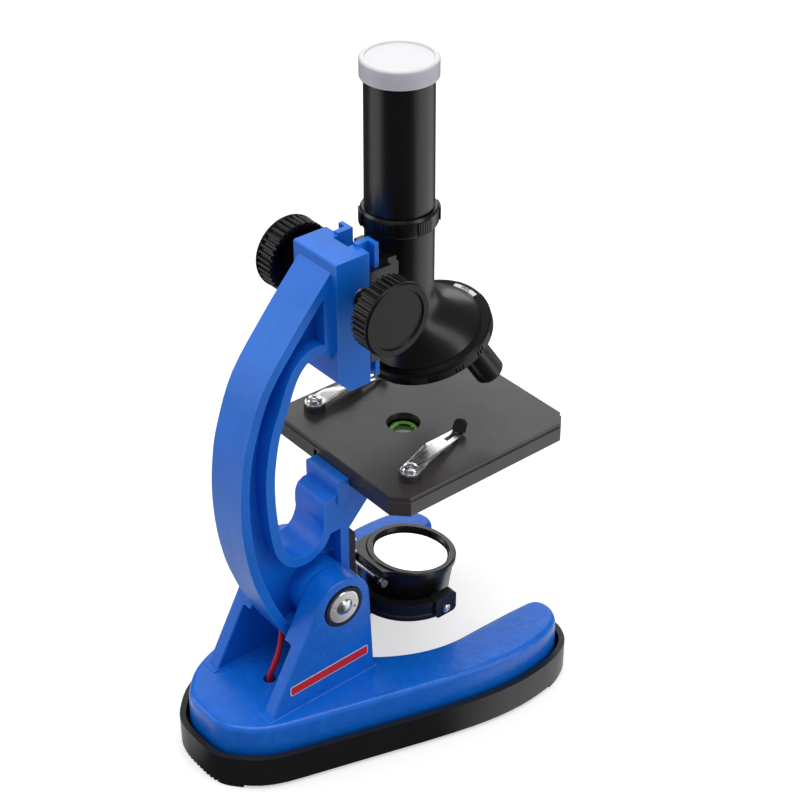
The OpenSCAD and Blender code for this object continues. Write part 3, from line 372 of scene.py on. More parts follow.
# painted highlight: the edges of the blue plastic are coloured lighter
paint_edge_highlights(blue_plastic, light=(0.10, 0.36, 0.92), amount=0.45)
black_gloss = plastic("black_gloss", (0.0045, 0.0045, 0.0052), rough=0.30, vary=0.25, grain=0.4,
                      grain_depth=0.004, coat=0.15, dust=0.05)
black_tube = plastic("black_tube", (0.0042, 0.0042, 0.0048), rough=0.31, vary=0.25, grain=0.3,
                     grain_depth=0.003, coat=0.12, dust=0.03)
knob_black = turned("knob_black", (0.004, 0.004, 0.0045), rough=0.33,
                    centre=KNOB_CENTRE, axis=(1, 0, 0), pitch=0.9)
turret_black = turned("turret_black", (0.003, 0.003, 0.0035), rough=0.40,
                      centre=TURRET_CENTRE, axis=TURRET_RING_AXIS, pitch=0.9)
black_satin = plastic("black_satin", (0.008, 0.008, 0.0085), rough=0.42, vary=0.2, grain=0.35,
                      grain_depth=0.012, dust=0.06)
stage_dark = plastic("stage_dark", (0.036, 0.031, 0.031), rough=0.33, vary=0.28, grain=0.28,
                     grain_depth=0.012, streak=False, dust=0.12, spec=0.6)
rubber = plastic("rubber_black", (0.014, 0.014, 0.014), rough=0.72, vary=0.15, grain=0.5,
                 grain_depth=0.03, spec=0.3)
wire_red = plastic("wire_red", (0.55, 0.008, 0.010), rough=0.3, vary=0.1, grain=0.5,
                   grain_depth=0.004)
battery_skin = plastic("battery_skin", (0.45, 0.30, 0.05), rough=0.35, vary=0.2)
screw_steel = metal("screw_steel", (0.92, 0.92, 0.93), rough=0.19)
plain_steel = metal("plain_steel", (0.62, 0.62, 0.62), rough=0.3)
clip_steel = metal("clip_steel", (0.95, 0.935, 0.91), rough=0.27, brush=(1, 0.12, 1))
lens_glass = glass("lens_glass", (0.92, 0.97, 0.96))
green_glass = glass("green_glass", (0.34, 0.85, 0.10), rough=0.05)
lamp_white = glass("lamp_white", (0.95, 0.94, 0.9), rough=0.4, transmission=0.6)

BY_SLOT = {
    "blue_enamel": blue_enamel, "blue_plastic": blue_plastic, "black_plastic": black_gloss,
    "black_matte": black_satin, "stage_dark": stage_dark, "rubber_black": rubber,
    "screw_steel": screw_steel, "plain_steel": plain_steel, "clip_steel": clip_steel,
    "battery_skin": battery_skin, "wire_red": wire_red, "lens_glass": lens_glass,
    "green_glass": green_glass, "lamp_white": lamp_white, "cap_clear": clear_cap(),
    "mirror_silver": mirror_silver(),
}
BY_NODE = {"knob_left": knob_black, "knob_right": knob_black, "turret_disc": turret_black}


# ---------------------------------------------------------------- edges and smoothing
def smooth_group():
    """Node group that shades smooth across edges of up to 32 degrees."""
    group = bpy.data.node_groups.new("smooth_by_angle", "GeometryNodeTree")
    for direction in ("INPUT", "OUTPUT"):
        group.interface.new_socket("Geometry", in_out=direction,
                                   socket_type="NodeSocketGeometry")
    group_in = group.nodes.new("NodeGroupInput")
    group_out = group.nodes.new("NodeGroupOutput")
    angle = group.nodes.new("GeometryNodeInputMeshEdgeAngle")
    shallow = group.nodes.new("FunctionNodeCompare")
    shallow.data_type = "FLOAT"
    shallow.operation = "LESS_EQUAL"
    shallow.inputs[1].default_value = math.radians(32)
    edges = group.nodes.new("GeometryNodeSetShadeSmooth")
    edges.domain = "EDGE"
    faces = group.nodes.new("GeometryNodeSetShadeSmooth")
    faces.domain = "FACE"
    group.links.new(angle.outputs["Unsigned Angle"], shallow.inputs[0])
    group.links.new(group_in.outputs[0], edges.inputs["Geometry"])
    group.links.new(shallow.outputs[0], edges.inputs["Shade Smooth"])
    group.links.new(edges.outputs[0], faces.inputs["Geometry"])
    group.links.new(faces.outputs[0], group_out.inputs[0])
    return group


SMOOTH = smooth_group()


def add_bevel(obj, width, segments, angle):
    bevel = obj.modifiers.new("edge", "BEVEL")
    bevel.width = width * MM
    bevel.segments = segments
    bevel.limit_method = "ANGLE"
    bevel.angle_limit = math.radians(angle)
    return bevel


def add_smooth(obj):
    obj.modifiers.new("smooth", "NODES").node_group = SMOOTH


def round_off(obj, width, segments=2, weld=True):
    """Bevels and smooths a piece; weld first merges loose points and flat faces."""
    if weld:
        obj.modifiers.new("weld", "WELD").merge_threshold = 2e-6
        planar = obj.modifiers.new("planar", "DECIMATE")
        planar.decimate_type = "DISSOLVE"
        planar.angle_limit = math.radians(0.5)
    if width:
        bevel = add_bevel(obj, width, segments, angle=30)
        bevel.use_clamp_overlap = True
        bevel.miter_outer = "MITER_ARC"
    add_smooth(obj)
    normals = obj.modifiers.new("normals", "WEIGHTED_NORMAL")
    normals.keep_sharp = True
    normals.weight = 60


# ---------------------------------------------------------------- finish of the CAD nodes
DEFAULT_EDGE = 0.08
EDGE_WIDTHS = {
    "base_casting": 0.5, "base_tray": 0.35, "arm_left": 0.45, "arm_right": 0.45,
    "stage_plate": 0.35, "feet": 0.2, "knob_left": 0.15, "knob_right": 0.15,
    "turret_disc": 0.15, "collar": 0.12, "rack_slide": 0.2, "body_tube": 0.25,
    "eyepiece_tube": 0.2, "mirror_drum": 0.25, "fork": 0.25, "battery_door": 0.2,
    "dust_cap": 0.15, "clip_tip_left": 0.45, "clip_tip_right": 0.45,
}


def finish_cad_nodes():
    slots = {row["node"]: row["material_slot"] for row in frame["record"]["subparts"]}
    for name, obj in NODES.items():
        bpy.context.view_layer.objects.active = obj
        if obj.data.has_custom_normals:
            with bpy.context.temp_override(object=obj, active_object=obj, mesh=obj.data):
                bpy.ops.mesh.customdata_custom_splitnormals_clear()
        mat = BY_NODE.get(name, BY_SLOT[slots[name]])
        obj.data.materials.clear()
        obj.data.materials.append(mat.data)
        round_off(obj, EDGE_WIDTHS.get(name, DEFAULT_EDGE),
                  segments=3 if name.startswith("clip_tip") else 2)


finish_cad_nodes()


# ---------------------------------------------------------------- mesh helpers
def link_new(name, data):
    obj = bpy.data.objects.new(name, data)
    bpy.context.scene.collection.objects.link(obj)
    return obj


def to_object(name, bm, recalc=True):
    if recalc:
        bmesh.ops.recalc_face_normals(bm, faces=bm.faces)
    mesh = bpy.data.meshes.new(name)
    bm.to_mesh(mesh)
    bm.free()
    return link_new(name, mesh)


def finish(obj, mat, body=None, bevel=0.0, segments=2, replaces=(), weld=False,
           shade=True):
    for face in obj.data.polygons:
        face.use_smooth = True
    obj.data.materials.clear()
    obj.data.materials.append(mat.data)
    if shade:
        round_off(obj, bevel, segments, weld=weld)
    if body:
        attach(obj, body)
    if replaces:
        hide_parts(*replaces)


def cut_out(obj, *cutters):
    """Cuts bmeshes out of obj and keeps only the result."""
    for bm in cutters:
        cutter = to_object("cut", bm)
        modifier = obj.modifiers.new("bool", "BOOLEAN")
        modifier.operation = "DIFFERENCE"
        modifier.solver = "EXACT"
        modifier.object = cutter
        bpy.context.view_layer.update()
        evaluated = obj.evaluated_get(bpy.context.evaluated_depsgraph_get())
        result = bpy.data.meshes.new_from_object(evaluated)
        obj.modifiers.remove(modifier)
        old = obj.data
        obj.data = result
        bpy.data.meshes.remove(old)
        bpy.data.objects.remove(cutter)


def curve(points, steps):
    """Catmull-Rom curve through the points, steps to a span."""
    last = len(points) - 1
    result = []
    for i in range(last):
        spans = list(zip(points[max(i - 1, 0)], points[i], points[i + 1],
                         points[min(i + 2, last)]))
        for j in range(steps):
            t = j / steps
            result.append(tuple(
                0.5 * (2 * b + (c - a) * t + (2 * a - 5 * b + 4 * c - d) * t * t
                       + (3 * b - a - 3 * c + d) * t ** 3)
                for a, b, c, d in spans))
    return result + [points[-1]]


def inset(loop, distance):
    """Moves a closed loop, clockwise seen from above, inwards along its normals."""
    result = []
    for i, point in enumerate(loop):
        before, after = loop[i - 1], loop[(i + 1) % len(loop)]
        along = Vector((after[0] - before[0], after[1] - before[1])).normalized()
        result.append((point[0] + along.y * distance, point[1] - along.x * distance))
    return result


def soft_corners(polygon, radius, steps=6):
    result = []
    for i, corner in enumerate(polygon):
        corner = Vector(corner)
        start = corner + (Vector(polygon[i - 1]) - corner).normalized() * radius
        end = corner + (Vector(polygon[(i + 1) % len(polygon)]) - corner).normalized() * radius
        for j in range(steps + 1):
            t = j / steps
            result.append(tuple(start * (1 - t) ** 2 + corner * 2 * t * (1 - t) + end * t * t))
    return result


def skin(rings):
    """A bmesh skinned over closed rings of points in mm, with both ends closed."""
    bm = bmesh.new()
    rows = [[bm.verts.new([c * MM for c in point]) for point in ring] for ring in rings]
    count = len(rings[0])
    for a, b in zip(rows, rows[1:]):
        for i in range(count):
            bm.faces.new((a[i], a[(i + 1) % count], b[(i + 1) % count], b[i]))
    bm.faces.new(rows[0][::-1])
    bm.faces.new(rows[-1])
    return bm


def prism_x(polygon, x0, x1):
    return skin([[(x, y, z) for y, z in polygon] for x in (x0, x1)])


def prism_z(polygon, z0, z1):
    return skin([[(x, y, z) for x, y in polygon] for z in (z0, z1)])


def circle(radius, centre, count):
    angles = [2 * math.pi * i / count for i in range(count)]
    return [(centre[0] + radius * math.cos(a), centre[1] + radius * math.sin(a))
            for a in angles]


def lathe(profile, centre, segments=64):
    """Closed profile of (radius, height) turned about the Z line through centre."""
    bm = bmesh.new()
    columns = []
    for i in range(segments):
        angle = 2 * math.pi * i / segments
        columns.append([
            bm.verts.new((Vector((r * math.cos(angle), r * math.sin(angle), height))
                          + Vector(centre)) * MM)
            for r, height in profile])
    for i in range(segments):
        a, b = columns[i], columns[(i + 1) % segments]
        for j in range(len(profile)):
            k = (j + 1) % len(profile)
            if profile[j][0] < 1e-6 and profile[k][0] < 1e-6:
                continue
            bm.faces.new((a[j], b[j], b[k], a[k]))
    bmesh.ops.remove_doubles(bm, verts=bm.verts, dist=1e-7)
    bmesh.ops.dissolve_degenerate(bm, edges=bm.edges, dist=1e-8)
    return bm


# ---------------------------------------------------------------- base casting
BASE_BOTTOM, TRAY_RIM = 3.9, 12.8
BASE_ROUND, BASE_DRAFT = 2.0, 0.3       # top edge radius; how far the wall leans in
# x, y of the +X half, from the +Y end round the leg and back to the middle
BASE_HALF = [
    (0, 61.7), (7, 61.3), (12.6, 58.6), (20.3, 49.5), (26.6, 31), (39.2, -9.7),
    (43.4, -30), (43.3, -46), (40.4, -55.6), (36, -59.4), (31, -60.2), (27, -57.6),
    (25.9, -50), (25.3, -36), (24.6, -21), (20.6, -8.6), (13.2, 2.8), (6.6, 6.3), (0, 7),
]


def build_base():
    half = curve(BASE_HALF, 8)
    outline = half + [(-x, y) for x, y in half[-2:0:-1]]
    # inset, z
    levels = [(0.0, BASE_BOTTOM), (0.12, TRAY_RIM), (BASE_DRAFT, BASE_TOP - (BASE_ROUND + 0.1))]
    for i in range(1, 9):
        angle = math.pi / 2 * i / 8
        levels.append((BASE_DRAFT + BASE_ROUND * (1 - math.cos(angle)),
                       BASE_TOP - BASE_ROUND + BASE_ROUND * math.sin(angle)))
    levels.append((3.4, BASE_TOP + 0.02))
    base = to_object("base_shell", skin(
        [[(x, y, z) for x, y in inset(outline, distance)] for distance, z in levels]))
    cut_out(base, prism_z(circle(2.2, WIRE_HOLE, 40), BASE_TOP - 6, BASE_TOP + 5))
    finish(base, blue_enamel, "base", replaces=("base_casting",), weld=True)


build_base()

# ---------------------------------------------------------------- lugs that hold the pivot
PIVOT = (17.6, 54.6)                    # y, z
LUG_IN, LUG_OUT, LUG_BOSS = 12.8, 18.0, 9.2     # x of inner, outer and boss faces
LUG_RADIUS = 10.6
LUG_STEP_Z = 44.6                       # where the inner boss begins
LUG_START, LUG_END = (5.4, BASE_TOP - 2), (48, BASE_TOP - 2)    # y, z of the root
SINK_RADIUS, SINK_DEPTH, PIN_RADIUS = 7.2, 1.8, 2.55
FOOT_MARGIN = 0.6


def tangent(point, side):
    """Where a line from point touches the lug's round top."""
    v = Vector(point) - Vector(PIVOT)
    angle = math.atan2(v.y, v.x) + side * math.acos(LUG_RADIUS / v.length)
    return (PIVOT[0] + LUG_RADIUS * math.cos(angle), PIVOT[1] + LUG_RADIUS * math.sin(angle))


def at_height(p, q, z):
    return p[0] + (q[0] - p[0]) * (z - p[1]) / (q[1] - p[1]), z


def lug_outline():
    """y, z of the lug: up one flank, over the round top and down the other."""
    first, last = tangent(LUG_START, -1), tangent(LUG_END, 1)
    start = math.atan2(first[1] - PIVOT[1], first[0] - PIVOT[0])
    end = math.atan2(last[1] - PIVOT[1], last[0] - PIVOT[0])
    while start < end:
        start += 2 * math.pi
    angles = [start + (end - start) * i / 40 for i in range(41)]
    arc = [(PIVOT[0] + LUG_RADIUS * math.cos(a), PIVOT[1] + LUG_RADIUS * math.sin(a))
           for a in angles]
    return ([LUG_START, at_height(LUG_START, first, LUG_STEP_Z)] + arc
            + [at_height(LUG_END, last, LUG_STEP_Z), LUG_END])


def build_lug(sign, side, outline):
    bm = bmesh.new()
    outer, inner, boss = [
        [bm.verts.new((sign * x * MM, y * MM, z * MM)) for y, z in points]
        for x, points in ((LUG_OUT, outline), (LUG_IN, outline), (LUG_BOSS, outline[1:-1]))]
    count = len(outer)
    bm.faces.new(outer)
    for i in range(count - 1):
        bm.faces.new((outer[i], outer[i + 1], inner[i + 1], inner[i]))
        if 0 < i < count - 2:
            bm.faces.new((inner[i], inner[i + 1], boss[i], boss[i - 1]))
    bm.faces.new((outer[-1], outer[0], inner[0], inner[-1]))
    bm.faces.new((inner[0], inner[1], inner[-2], inner[-1]))
    bm.faces.new((inner[1], boss[0], boss[-1], inner[-2]))
    bm.faces.new(boss)
    lug = to_object("lug_" + side, bm)
    beyond = sign * 30
    cut_out(lug,
            prism_x(circle(SINK_RADIUS, PIVOT, 64), sign * (LUG_OUT - SINK_DEPTH), beyond),
            prism_x(circle(PIN_RADIUS, PIVOT, 40), 0, beyond))
    finish(lug, blue_enamel, "base", bevel=0.55, segments=3, weld=True)

    x_in, x_out = sign * (LUG_IN - 0.7), sign * (LUG_OUT + FOOT_MARGIN)
    y0, y1 = LUG_START[0] - 0.9, LUG_END[0] + FOOT_MARGIN
    foot = prism_z([(x_in, y0), (x_out, y0), (x_out, y1), (x_in, y1)],
                   BASE_TOP - 1.5, BASE_TOP + 0.45)
    finish(to_object("lug_foot_" + side, foot), blue_enamel, "base",
           bevel=0.35, segments=3)


for sign, side in ((1, "right"), (-1, "left")):
    build_lug(sign, side, lug_outline())

# ---------------------------------------------------------------- blank strip on the -X lug
label_white = plastic("label_white", (0.78, 0.78, 0.77), rough=0.45, vary=0.05, grain=0.4,
                      grain_depth=0.004, streak=False)
label_red = plastic("label_red", (0.62, 0.010, 0.016), rough=0.33, vary=0.10, grain=0.4,
                    grain_depth=0.004, tint=(0.72, 0.02, 0.03), streak=False)


def build_strip_layer(name, grow, lift0, lift1, mat):
    """One layer of the strip, grown all round, between two heights off the lug."""
    corners = [(39.2 + grow, 29.2 - grow), (39.2 + grow, 32.4 + grow),
               (8.4 - grow, 33.1 + grow), (8.4 - grow, 29.9 - grow)]
    bm = prism_x(soft_corners(corners, 0.7 + grow), -(LUG_OUT + lift0), -(LUG_OUT + lift1))
    finish(to_object(name, bm), mat, "base")


build_strip_layer("strip_border", grow=0.3, lift0=-0.02, lift1=0.06, mat=label_white)
build_strip_layer("strip_face", grow=0.0, lift0=0.04, lift1=0.12, mat=label_red)

# ---------------------------------------------------------------- body tube with its bell
TUBE_Y = -20.2
TUBE_RADIUS, BORE_RADIUS = 10.6, 8.8
TUBE_TOP = 177.5                        # where the outer wall meets the rounded lip
BELL_RADIUS = 18.3
# y, z of the pad on the arm side of the tube
PAD = [(-9.05, 136), (-9.05, 167), (-12.6, 167), (-12.6, 165), (-14.5, 165), (-14.5, 136)]


def turret_point(radius, angle, height):
    offset = Vector((radius * math.cos(angle), radius * math.sin(angle), height))
    return Vector(TURRET_CENTRE) + TURRET_TURN @ offset


def bell_column(angle, steps=26):
    """Bezier points from the tube down to the rim of the bell at one angle."""
    front = 0.5 - 0.5 * math.sin(angle)     # 1 on the -Y side, 0 on the arm side
    z = 149.0 + 1.4 * front - 3.5 * (1 - front)
    start = Vector((TUBE_RADIUS * math.cos(angle), TUBE_Y + TUBE_RADIUS * math.sin(angle), z))
    rim = turret_point(BELL_RADIUS, angle, 0.25)
    out = TURRET_TURN @ Vector((math.cos(angle), math.sin(angle), 0))
    gap = (rim - start).length
    pull0 = start + Vector((0, 0, -1)) * (gap * (0.50 - 0.12 * front))
    pull1 = (rim + TURRET_AXIS * (gap * (0.16 + 0.15 * front))
             - out * (gap * (0.10 + 0.06 * front)))
    points = []
    for i in range(steps + 1):
        t = i / steps
        points.append(start * (1 - t) ** 3 + pull0 * 3 * t * (1 - t) ** 2
                      + pull1 * 3 * t * t * (1 - t) + rim * t ** 3)
    return points


def tube_column(angle):
    """Bore, lip, outer wall and bell at one angle."""
    bell = bell_column(angle)
    # radius, z
    wall = [(BORE_RADIUS, 160), (BORE_RADIUS, TUBE_TOP + 0.1),
            (TUBE_RADIUS - 0.1, TUBE_TOP + 0.2), (TUBE_RADIUS, TUBE_TOP)]
    wall += [(TUBE_RADIUS, TUBE_TOP + (bell[0].z - TUBE_TOP) * j / 6) for j in range(1, 6)]
    column = [Vector((r * math.cos(angle), TUBE_Y + r * math.sin(angle), z)) for r, z in wall]
    return column + bell + [turret_point(BELL_RADIUS - 0.3, angle, 0.08)]


def build_tube(segments=128):
    columns = [tube_column(2 * math.pi * i / segments) for i in range(segments)]
    finish(to_object("tube_and_bell", skin(list(zip(*columns)))), black_tube,
           "carriage", replaces=("body_tube",))
    finish(to_object("tube_pad", prism_x(PAD, -8, 8)), black_gloss,
           "carriage", bevel=0.3)


build_tube()

# ---------------------------------------------------------------- stage clips of spring strip
CLIP_X, CLIP_Y = 24.2, -4.5             # the screw
CLIP_TURN = {-1: math.radians(17), 1: math.radians(-2)}
CLIP_LIFT = 2.5                         # underside of the strip above the stage
CLIP_GAUGE = 0.5
CLIP_HEAD = 3.2                         # radius of the round head
CLIP_RISE = 0.14                        # slope of the strip up to the fold
CLIP_DROP, CLIP_DROP_END = 2.1, 28      # how low the strip would come, and how far out
SLOT_START, SLOT_END = 20.2, 27.0       # slot along the middle
SLOT_HALF = 0.65
CURL_START, CURL_Z = 27.78, -2.233
CURL_ANGLE = math.radians(62)
# distances from the screw of the cross rows, then distances along the upturned end
CLIP_ROWS = ([-3.16, -3.0, -2.7, -2.2, -1.4, -0.7, 0.0, 1.0, 2.0, 3.2]
             + [3.9 + i * 0.9 for i in range(18)]
             + [SLOT_START + i * 0.68 for i in range(11)] + [27.5])
CURL_ROWS = [0.35, 0.8, 1.3, 1.9, 2.5, 3.0]


def clip_place(sign, x, y, z):
    """Point of the clip drawing (screw at 0, strip towards -Y) in the frame."""
    cos, sin = math.cos(CLIP_TURN[sign]), math.sin(CLIP_TURN[sign])
    across, along = x * cos - y * sin, x * sin + y * cos
    return sign * CLIP_X - sign * across, CLIP_Y + along, STAGE_TOP + CLIP_LIFT + z


def clip_half_width(reach, past):
    if reach < 0:
        return math.sqrt(CLIP_HEAD ** 2 - reach * reach)
    if past < 0:
        return CLIP_HEAD - 0.1 * min(1, reach / 3) - 1.1 * max(0, reach - 3) / 25
    return 1.6 if past < 0.5 else 1.4


def clip_row(sign, reach):
    """The six points across the strip at one distance from the screw."""
    past = reach - CURL_START
    half = clip_half_width(reach, past)
    slot = min(SLOT_HALF, half * 0.3)
    points = []
    for x in (-half, -(slot + half) / 2, -slot, slot, (slot + half) / 2, half):
        fold = 9.7 + 1.2 * x            # the fold runs aslant
        top = CLIP_RISE * (fold - CLIP_HEAD)
        y = reach
        if past > 0:
            y = CURL_START + past * math.cos(CURL_ANGLE)
            z = CURL_Z + past * math.sin(CURL_ANGLE)
        elif reach < fold:
            z = max(0.0, CLIP_RISE * (reach - CLIP_HEAD))
        else:
            z = top - (top + CLIP_DROP) * (reach - fold) / (CLIP_DROP_END - fold)
        points.append(clip_place(sign, x, -y, z + CLIP_GAUGE / 2))
    return points


def build_clip(sign, side):
    bm = bmesh.new()
    rows = [(reach, [bm.verts.new([c * MM for c in point]) for point in clip_row(sign, reach)])
            for reach in CLIP_ROWS + [CURL_START + d for d in CURL_ROWS]]
    for (reach_a, a), (reach_b, b) in zip(rows, rows[1:]):
        in_slot = reach_a >= SLOT_START - 0.01 and reach_b <= SLOT_END + 0.01
        for i in range(5):
            if i == 2 and in_slot:
                continue
            bm.faces.new((a[i], a[i + 1], b[i + 1], b[i]))
    bmesh.ops.recalc_face_normals(bm, faces=bm.faces)
    if sum(face.normal.z for face in bm.faces) < 0:
        bmesh.ops.reverse_faces(bm, faces=bm.faces)
    clip = to_object("clip_spring_" + side, bm, recalc=False)
    finish(clip, clip_steel, shade=False)
    gauge = clip.modifiers.new("gauge", "SOLIDIFY")
    gauge.thickness = CLIP_GAUGE * MM
    gauge.offset = 0.0
    add_bevel(clip, 0.1, segments=2, angle=50)
    add_smooth(clip)
    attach(clip, "clip_l" if side == "left" else "clip_r")
    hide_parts("clip_" + side)


build_clip(-1, "left")
build_clip(1, "right")

# ---------------------------------------------------------------- lamp wire, base to arm
WIRE_RADIUS = 1.0
# x, y, z along the slack wire
WIRE_PATH = [
    (*WIRE_HOLE, 16), (*WIRE_HOLE, 20), (-1.5, 35.9, 24), (-2.4, 35.0, 28),
    (-2.0, 32.6, 32), (-0.8, 30.4, 35.6), (0, 29.35, 39.5), (0, 29.3, 46),
]


def build_wire(sides=14, steps=8):
    path = [Vector(point) for point in curve(WIRE_PATH, steps)]
    rings = []
    normal = Vector((1, 0, 0))
    for i, centre in enumerate(path):
        along = (path[min(i + 1, len(path) - 1)] - path[max(i - 1, 0)]).normalized()
        normal = (normal - along * normal.dot(along)).normalized()
        across = along.cross(normal)
        angles = [2 * math.pi * k / sides for k in range(sides)]
        rings.append([centre + (normal * math.cos(a) + across * math.sin(a)) * WIRE_RADIUS
                      for a in angles])
    wire = to_object("lamp_wire", skin(rings))
    finish(wire, wire_red, shade=False)
    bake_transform(wire)
    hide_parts("wire_in_base", "wire_in_arm")


build_wire()

# ---------------------------------------------------------------- number plate on the turret
label_ink = plastic("label_ink", (0.02, 0.02, 0.02), rough=0.5, vary=0.1, grain=0.4,
                    grain_depth=0.002, streak=False)
PLATE_ANGLE = math.radians(-87)
PLATE_HALF_ANGLE = 4.9 / 19.8           # half width over the radius it is measured at
PLATE_EDGES = ((18.5, 0.0), (21.15, 0.264))     # radius, drop of the edge
PLATE_HEIGHTS = (0.02, 0.14)            # underside and face above the turret


def build_plate(steps=14):
    bm = bmesh.new()
    grid = {}
    for layer, height in enumerate(PLATE_HEIGHTS):
        for k in range(steps + 1):
            angle = PLATE_ANGLE - PLATE_HALF_ANGLE + 2 * PLATE_HALF_ANGLE * k / steps
            for m, (radius, drop) in enumerate(PLATE_EDGES):
                grid[layer, k, m] = bm.verts.new(turret_point(radius, angle, height - drop) * MM)

    def face(*keys):
        bm.faces.new([grid[key] for key in keys])

    for k in range(steps):
        face((1, k, 0), (1, k, 1), (1, k + 1, 1), (1, k + 1, 0))
        face((0, k, 0), (0, k + 1, 0), (0, k + 1, 1), (0, k, 1))
        for m in (0, 1):
            face((0, k, m), (0, k + 1, m), (1, k + 1, m), (1, k, m))
    for k in (0, steps):
        face((0, k, 0), (0, k, 1), (1, k, 1), (1, k, 0))
    finish(to_object("number_plate_1", bm), label_white, "turret")


def build_number():
    text = bpy.data.curves.new("number_1", "FONT")
    text.body = "300"
    text.size = 2.5 * MM
    text.align_x = "CENTER"
    text.align_y = "CENTER"
    text.extrude = 0.02 * MM
    number = link_new("number_1", text)
    place = turret_point(19.75, PLATE_ANGLE, 0.17) * MM
    out = TURRET_TURN @ Vector((math.cos(PLATE_ANGLE), math.sin(PLATE_ANGLE), 0))
    side = TURRET_AXIS.cross(out)
    rows = zip(side, -out, TURRET_AXIS, place)
    number.matrix_world = Matrix((*rows, (0, 0, 0, 1)))
    text.materials.append(label_ink.data)
    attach(number, "turret")


build_plate()
build_number()

# ---------------------------------------------------------------- colour filters in the wheel
WHEEL_Y, FIRST_HOLE_Y = -39.6, -21.8    # wheel axis, and the hole furthest to +Y
HOLE_CIRCLE = FIRST_HOLE_Y - WHEEL_Y
WHEEL_Z = STAGE_TOP - 4.6
FILTERS = (
    ("green", (0.36, 0.86, 0.12)), ("red", (0.85, 0.06, 0.04)), ("blue", (0.05, 0.20, 0.85)),
    ("yellow", (0.90, 0.75, 0.05)), ("amber", (0.90, 0.35, 0.03)),
)
# radius, height above WHEEL_Z
PANE_PROFILE = [(0, 0.80), (3.6, 0.80), (3.7, 0.74), (4.55, 0.74), (4.55, 1.4),
                (3.75, 1.46), (3.55, 1.22), (0, 1.22)]
RING_PROFILE = [(3.75, 1.47), (4.55, 1.41), (4.55, 2.0), (4.3, 2.1), (3.9, 2.05)]


def build_filter(index, name, colour):
    angle = math.radians(90 + 60 * index)
    centre = (HOLE_CIRCLE * math.cos(angle), WHEEL_Y + HOLE_CIRCLE * math.sin(angle), WHEEL_Z)
    pale = tuple(0.25 + 0.75 * c for c in colour)
    tint = glass("filter_tint_" + name, pale, rough=0.06)
    finish(to_object("filter_pane_" + name, lathe(PANE_PROFILE, centre)), tint,
           "colour_wheel", replaces=("filter_glasses",) if index == 0 else ())
    rim = plastic("filter_rim_glow_" + name, scaled(colour, 0.8), rough=0.25, vary=0.1)
    # painted glow: the coloured rim gives off a faint light of its own
    rim.set(subsurface_weight=0.3, emission_color=(*scaled(colour, 0.5), 1),
            emission_strength=0.12)
    finish(to_object("filter_ring_" + name, lathe(RING_PROFILE, centre)), rim,
           "colour_wheel")


for index, (name, colour) in enumerate(FILTERS):
    build_filter(index, name, colour)


# ---------------------------------------------------------------- floor
def floor_paper():
    """White paper to the camera; in reflections a grey table with two pale cards."""
    mat = Material("floor_paper")
    mat.set(base_color=mat.mix(mat.noise(size=8), (0.62, 0.62, 0.62), (0.64, 0.64, 0.64)),
            roughness=0.95, specular_ior_level=0.05)
    mat.bump(mat.noise(size=0.7), depth=0.02, strength=0.2)
    lift = mat.node("Emission")
    lift.inputs["Strength"].default_value = 0.52
    paper = mat.node("AddShader")
    mat.link(mat.principled.outputs[0], paper.inputs[0])
    mat.link(lift.outputs[0], paper.inputs[1])
    geometry = mat.node("NewGeometry")
    place = mat.node("SeparateXYZ")
    mat.link(geometry.outputs["Position"], place.inputs[0])
    centre_x = 0.0      # the cards are aimed round this x
    azimuth = mat.math("ARCTAN2", place.outputs["Y"],
                       mat.math("SUBTRACT", place.outputs["X"], centre_x))

    def card(towards, half, gain):
        """A soft-edged sector of light; towards and half are in degrees."""
        off = mat.math("COSINE", mat.math("SUBTRACT", azimuth, math.radians(towards)))
        over = (math.cos(math.radians(half)), math.cos(math.radians(half * 0.25)))
        return mat.ramp(off, over=over, to=(0.0, gain), interpolation="SMOOTHSTEP")

    cards = mat.math("ADD", card(towards=236, half=52, gain=1.05),
                     card(towards=58, half=34, gain=0.95))
    reflected = mat.node("Emission")
    table_glow = 0.07   # light of the table between the cards
    mat.link(mat.math("ADD", cards, table_glow), reflected.inputs["Strength"])
    ray = mat.node("LightPath")
    unseen = mat.node("MixShader")
    mat.link(ray.outputs["Is Glossy Ray"], unseen.inputs[0])
    diffuse = mat.node("BsdfDiffuse")
    diffuse.inputs["Color"].default_value = (0.5, 0.5, 0.5, 1)
    mat.link(diffuse.outputs[0], unseen.inputs[1])
    mat.link(reflected.outputs[0], unseen.inputs[2])
    surface = mat.node("MixShader")
    mat.link(ray.outputs["Is Camera Ray"], surface.inputs[0])
    mat.link(unseen.outputs[0], surface.inputs[1])
    mat.link(paper.outputs[0], surface.inputs[2])
    mat.link(surface.outputs[0], mat.output.inputs[0])
    return mat


def build_floor():
    bm = bmesh.new()
    bmesh.ops.create_grid(bm, x_segments=2, y_segments=2, size=3.0)
    floor = to_object("floor", bm, recalc=False)
    floor.data.materials.append(floor_paper().data)
    floor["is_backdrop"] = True


build_floor()

# ---------------------------------------------------------------- lights and world
LIGHT_TARGET = Vector((0, -0.01, 0.11))


def area(name, at, size, radiance):
    """A rectangular light in metres, aimed at the object."""
    light = bpy.data.lights.new(name, "AREA")
    light.shape = "RECTANGLE"
    light.size, light.size_y = size
    light.energy = radiance * math.pi * size[0] * size[1]
    lamp = link_new(name, light)
    lamp.location = at
    lamp.rotation_euler = (LIGHT_TARGET - Vector(at)).to_track_quat("-Z", "Y").to_euler()


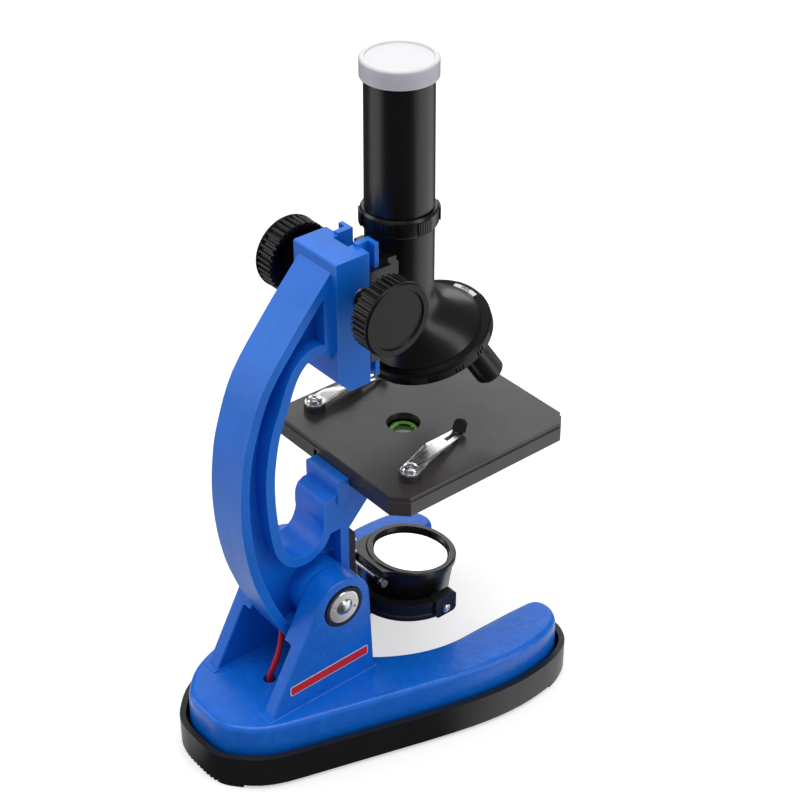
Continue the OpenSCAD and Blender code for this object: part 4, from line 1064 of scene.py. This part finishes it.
area("soft_top", at=(-0.10, 0.05, 0.95), size=(0.7, 0.7), radiance=3.1)
area("soft_left", at=(0.62, 0.55, 0.42), size=(0.35, 0.7), radiance=2.2)
area("soft_right", at=(-0.75, -0.30, 0.40), size=(0.30, 0.8), radiance=2.0)
area("soft_back", at=(0.60, -0.60, 0.46), size=(0.85, 0.60), radiance=1.5)


def build_world(ambient, glossy, camera):
    """White surroundings with a strength for each kind of ray."""
    world = bpy.data.worlds.new("studio")
    bpy.context.scene.world = world
    world.use_nodes = True
    nodes, links = world.node_tree.nodes, world.node_tree.links
    fill = nodes["Background"]
    fill.inputs[0].default_value = (1, 1, 1, 1)
    fill.inputs[1].default_value = ambient
    seen = nodes.new("ShaderNodeBackground")
    seen.inputs[1].default_value = camera
    gloss = nodes.new("ShaderNodeBackground")
    gloss.inputs[1].default_value = glossy
    ray = nodes.new("ShaderNodeLightPath")
    unseen = nodes.new("ShaderNodeMixShader")
    surface = nodes.new("ShaderNodeMixShader")
    links.new(ray.outputs["Is Glossy Ray"], unseen.inputs[0])
    links.new(fill.outputs[0], unseen.inputs[1])
    links.new(gloss.outputs[0], unseen.inputs[2])
    links.new(ray.outputs["Is Camera Ray"], surface.inputs[0])
    links.new(unseen.outputs[0], surface.inputs[1])
    links.new(seen.outputs[0], surface.inputs[2])
    links.new(surface.outputs[0], nodes["World Output"].inputs[0])


build_world(ambient=0.42, glossy=0.20, camera=1.0)

# ---------------------------------------------------------------- camera
CAMERA_AT = (-0.3592, 0.2760, 0.4241)
CAMERA_BACK = (-0.63807, 0.52655, 0.56179)      # from the object towards the camera


def build_camera():
    data = bpy.data.cameras.new("camera")
    data.lens = 79.8
    data.sensor_width = 36
    data.clip_start = 0.01
    camera = link_new("camera", data)
    back = Vector(CAMERA_BACK).normalized()
    right = Vector((0, 0, 1)).cross(back).normalized()
    up = back.cross(right).normalized()
    camera.matrix_world = Matrix((*zip(right, up, back, CAMERA_AT), (0, 0, 0, 1)))
    bpy.context.scene.camera = camera


build_camera()
bpy.context.scene.view_settings.view_transform = "Standard"
bpy.context.scene.view_settings.look = "None"

# ---------------------------------------------------------------- sizes
plain = lambda b: [[float(x) for x in v] for v in b] if hasattr(b[0], "__len__") else [float(x) for x in b]
{"cad": plain(cad_box), "visual": plain(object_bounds())}
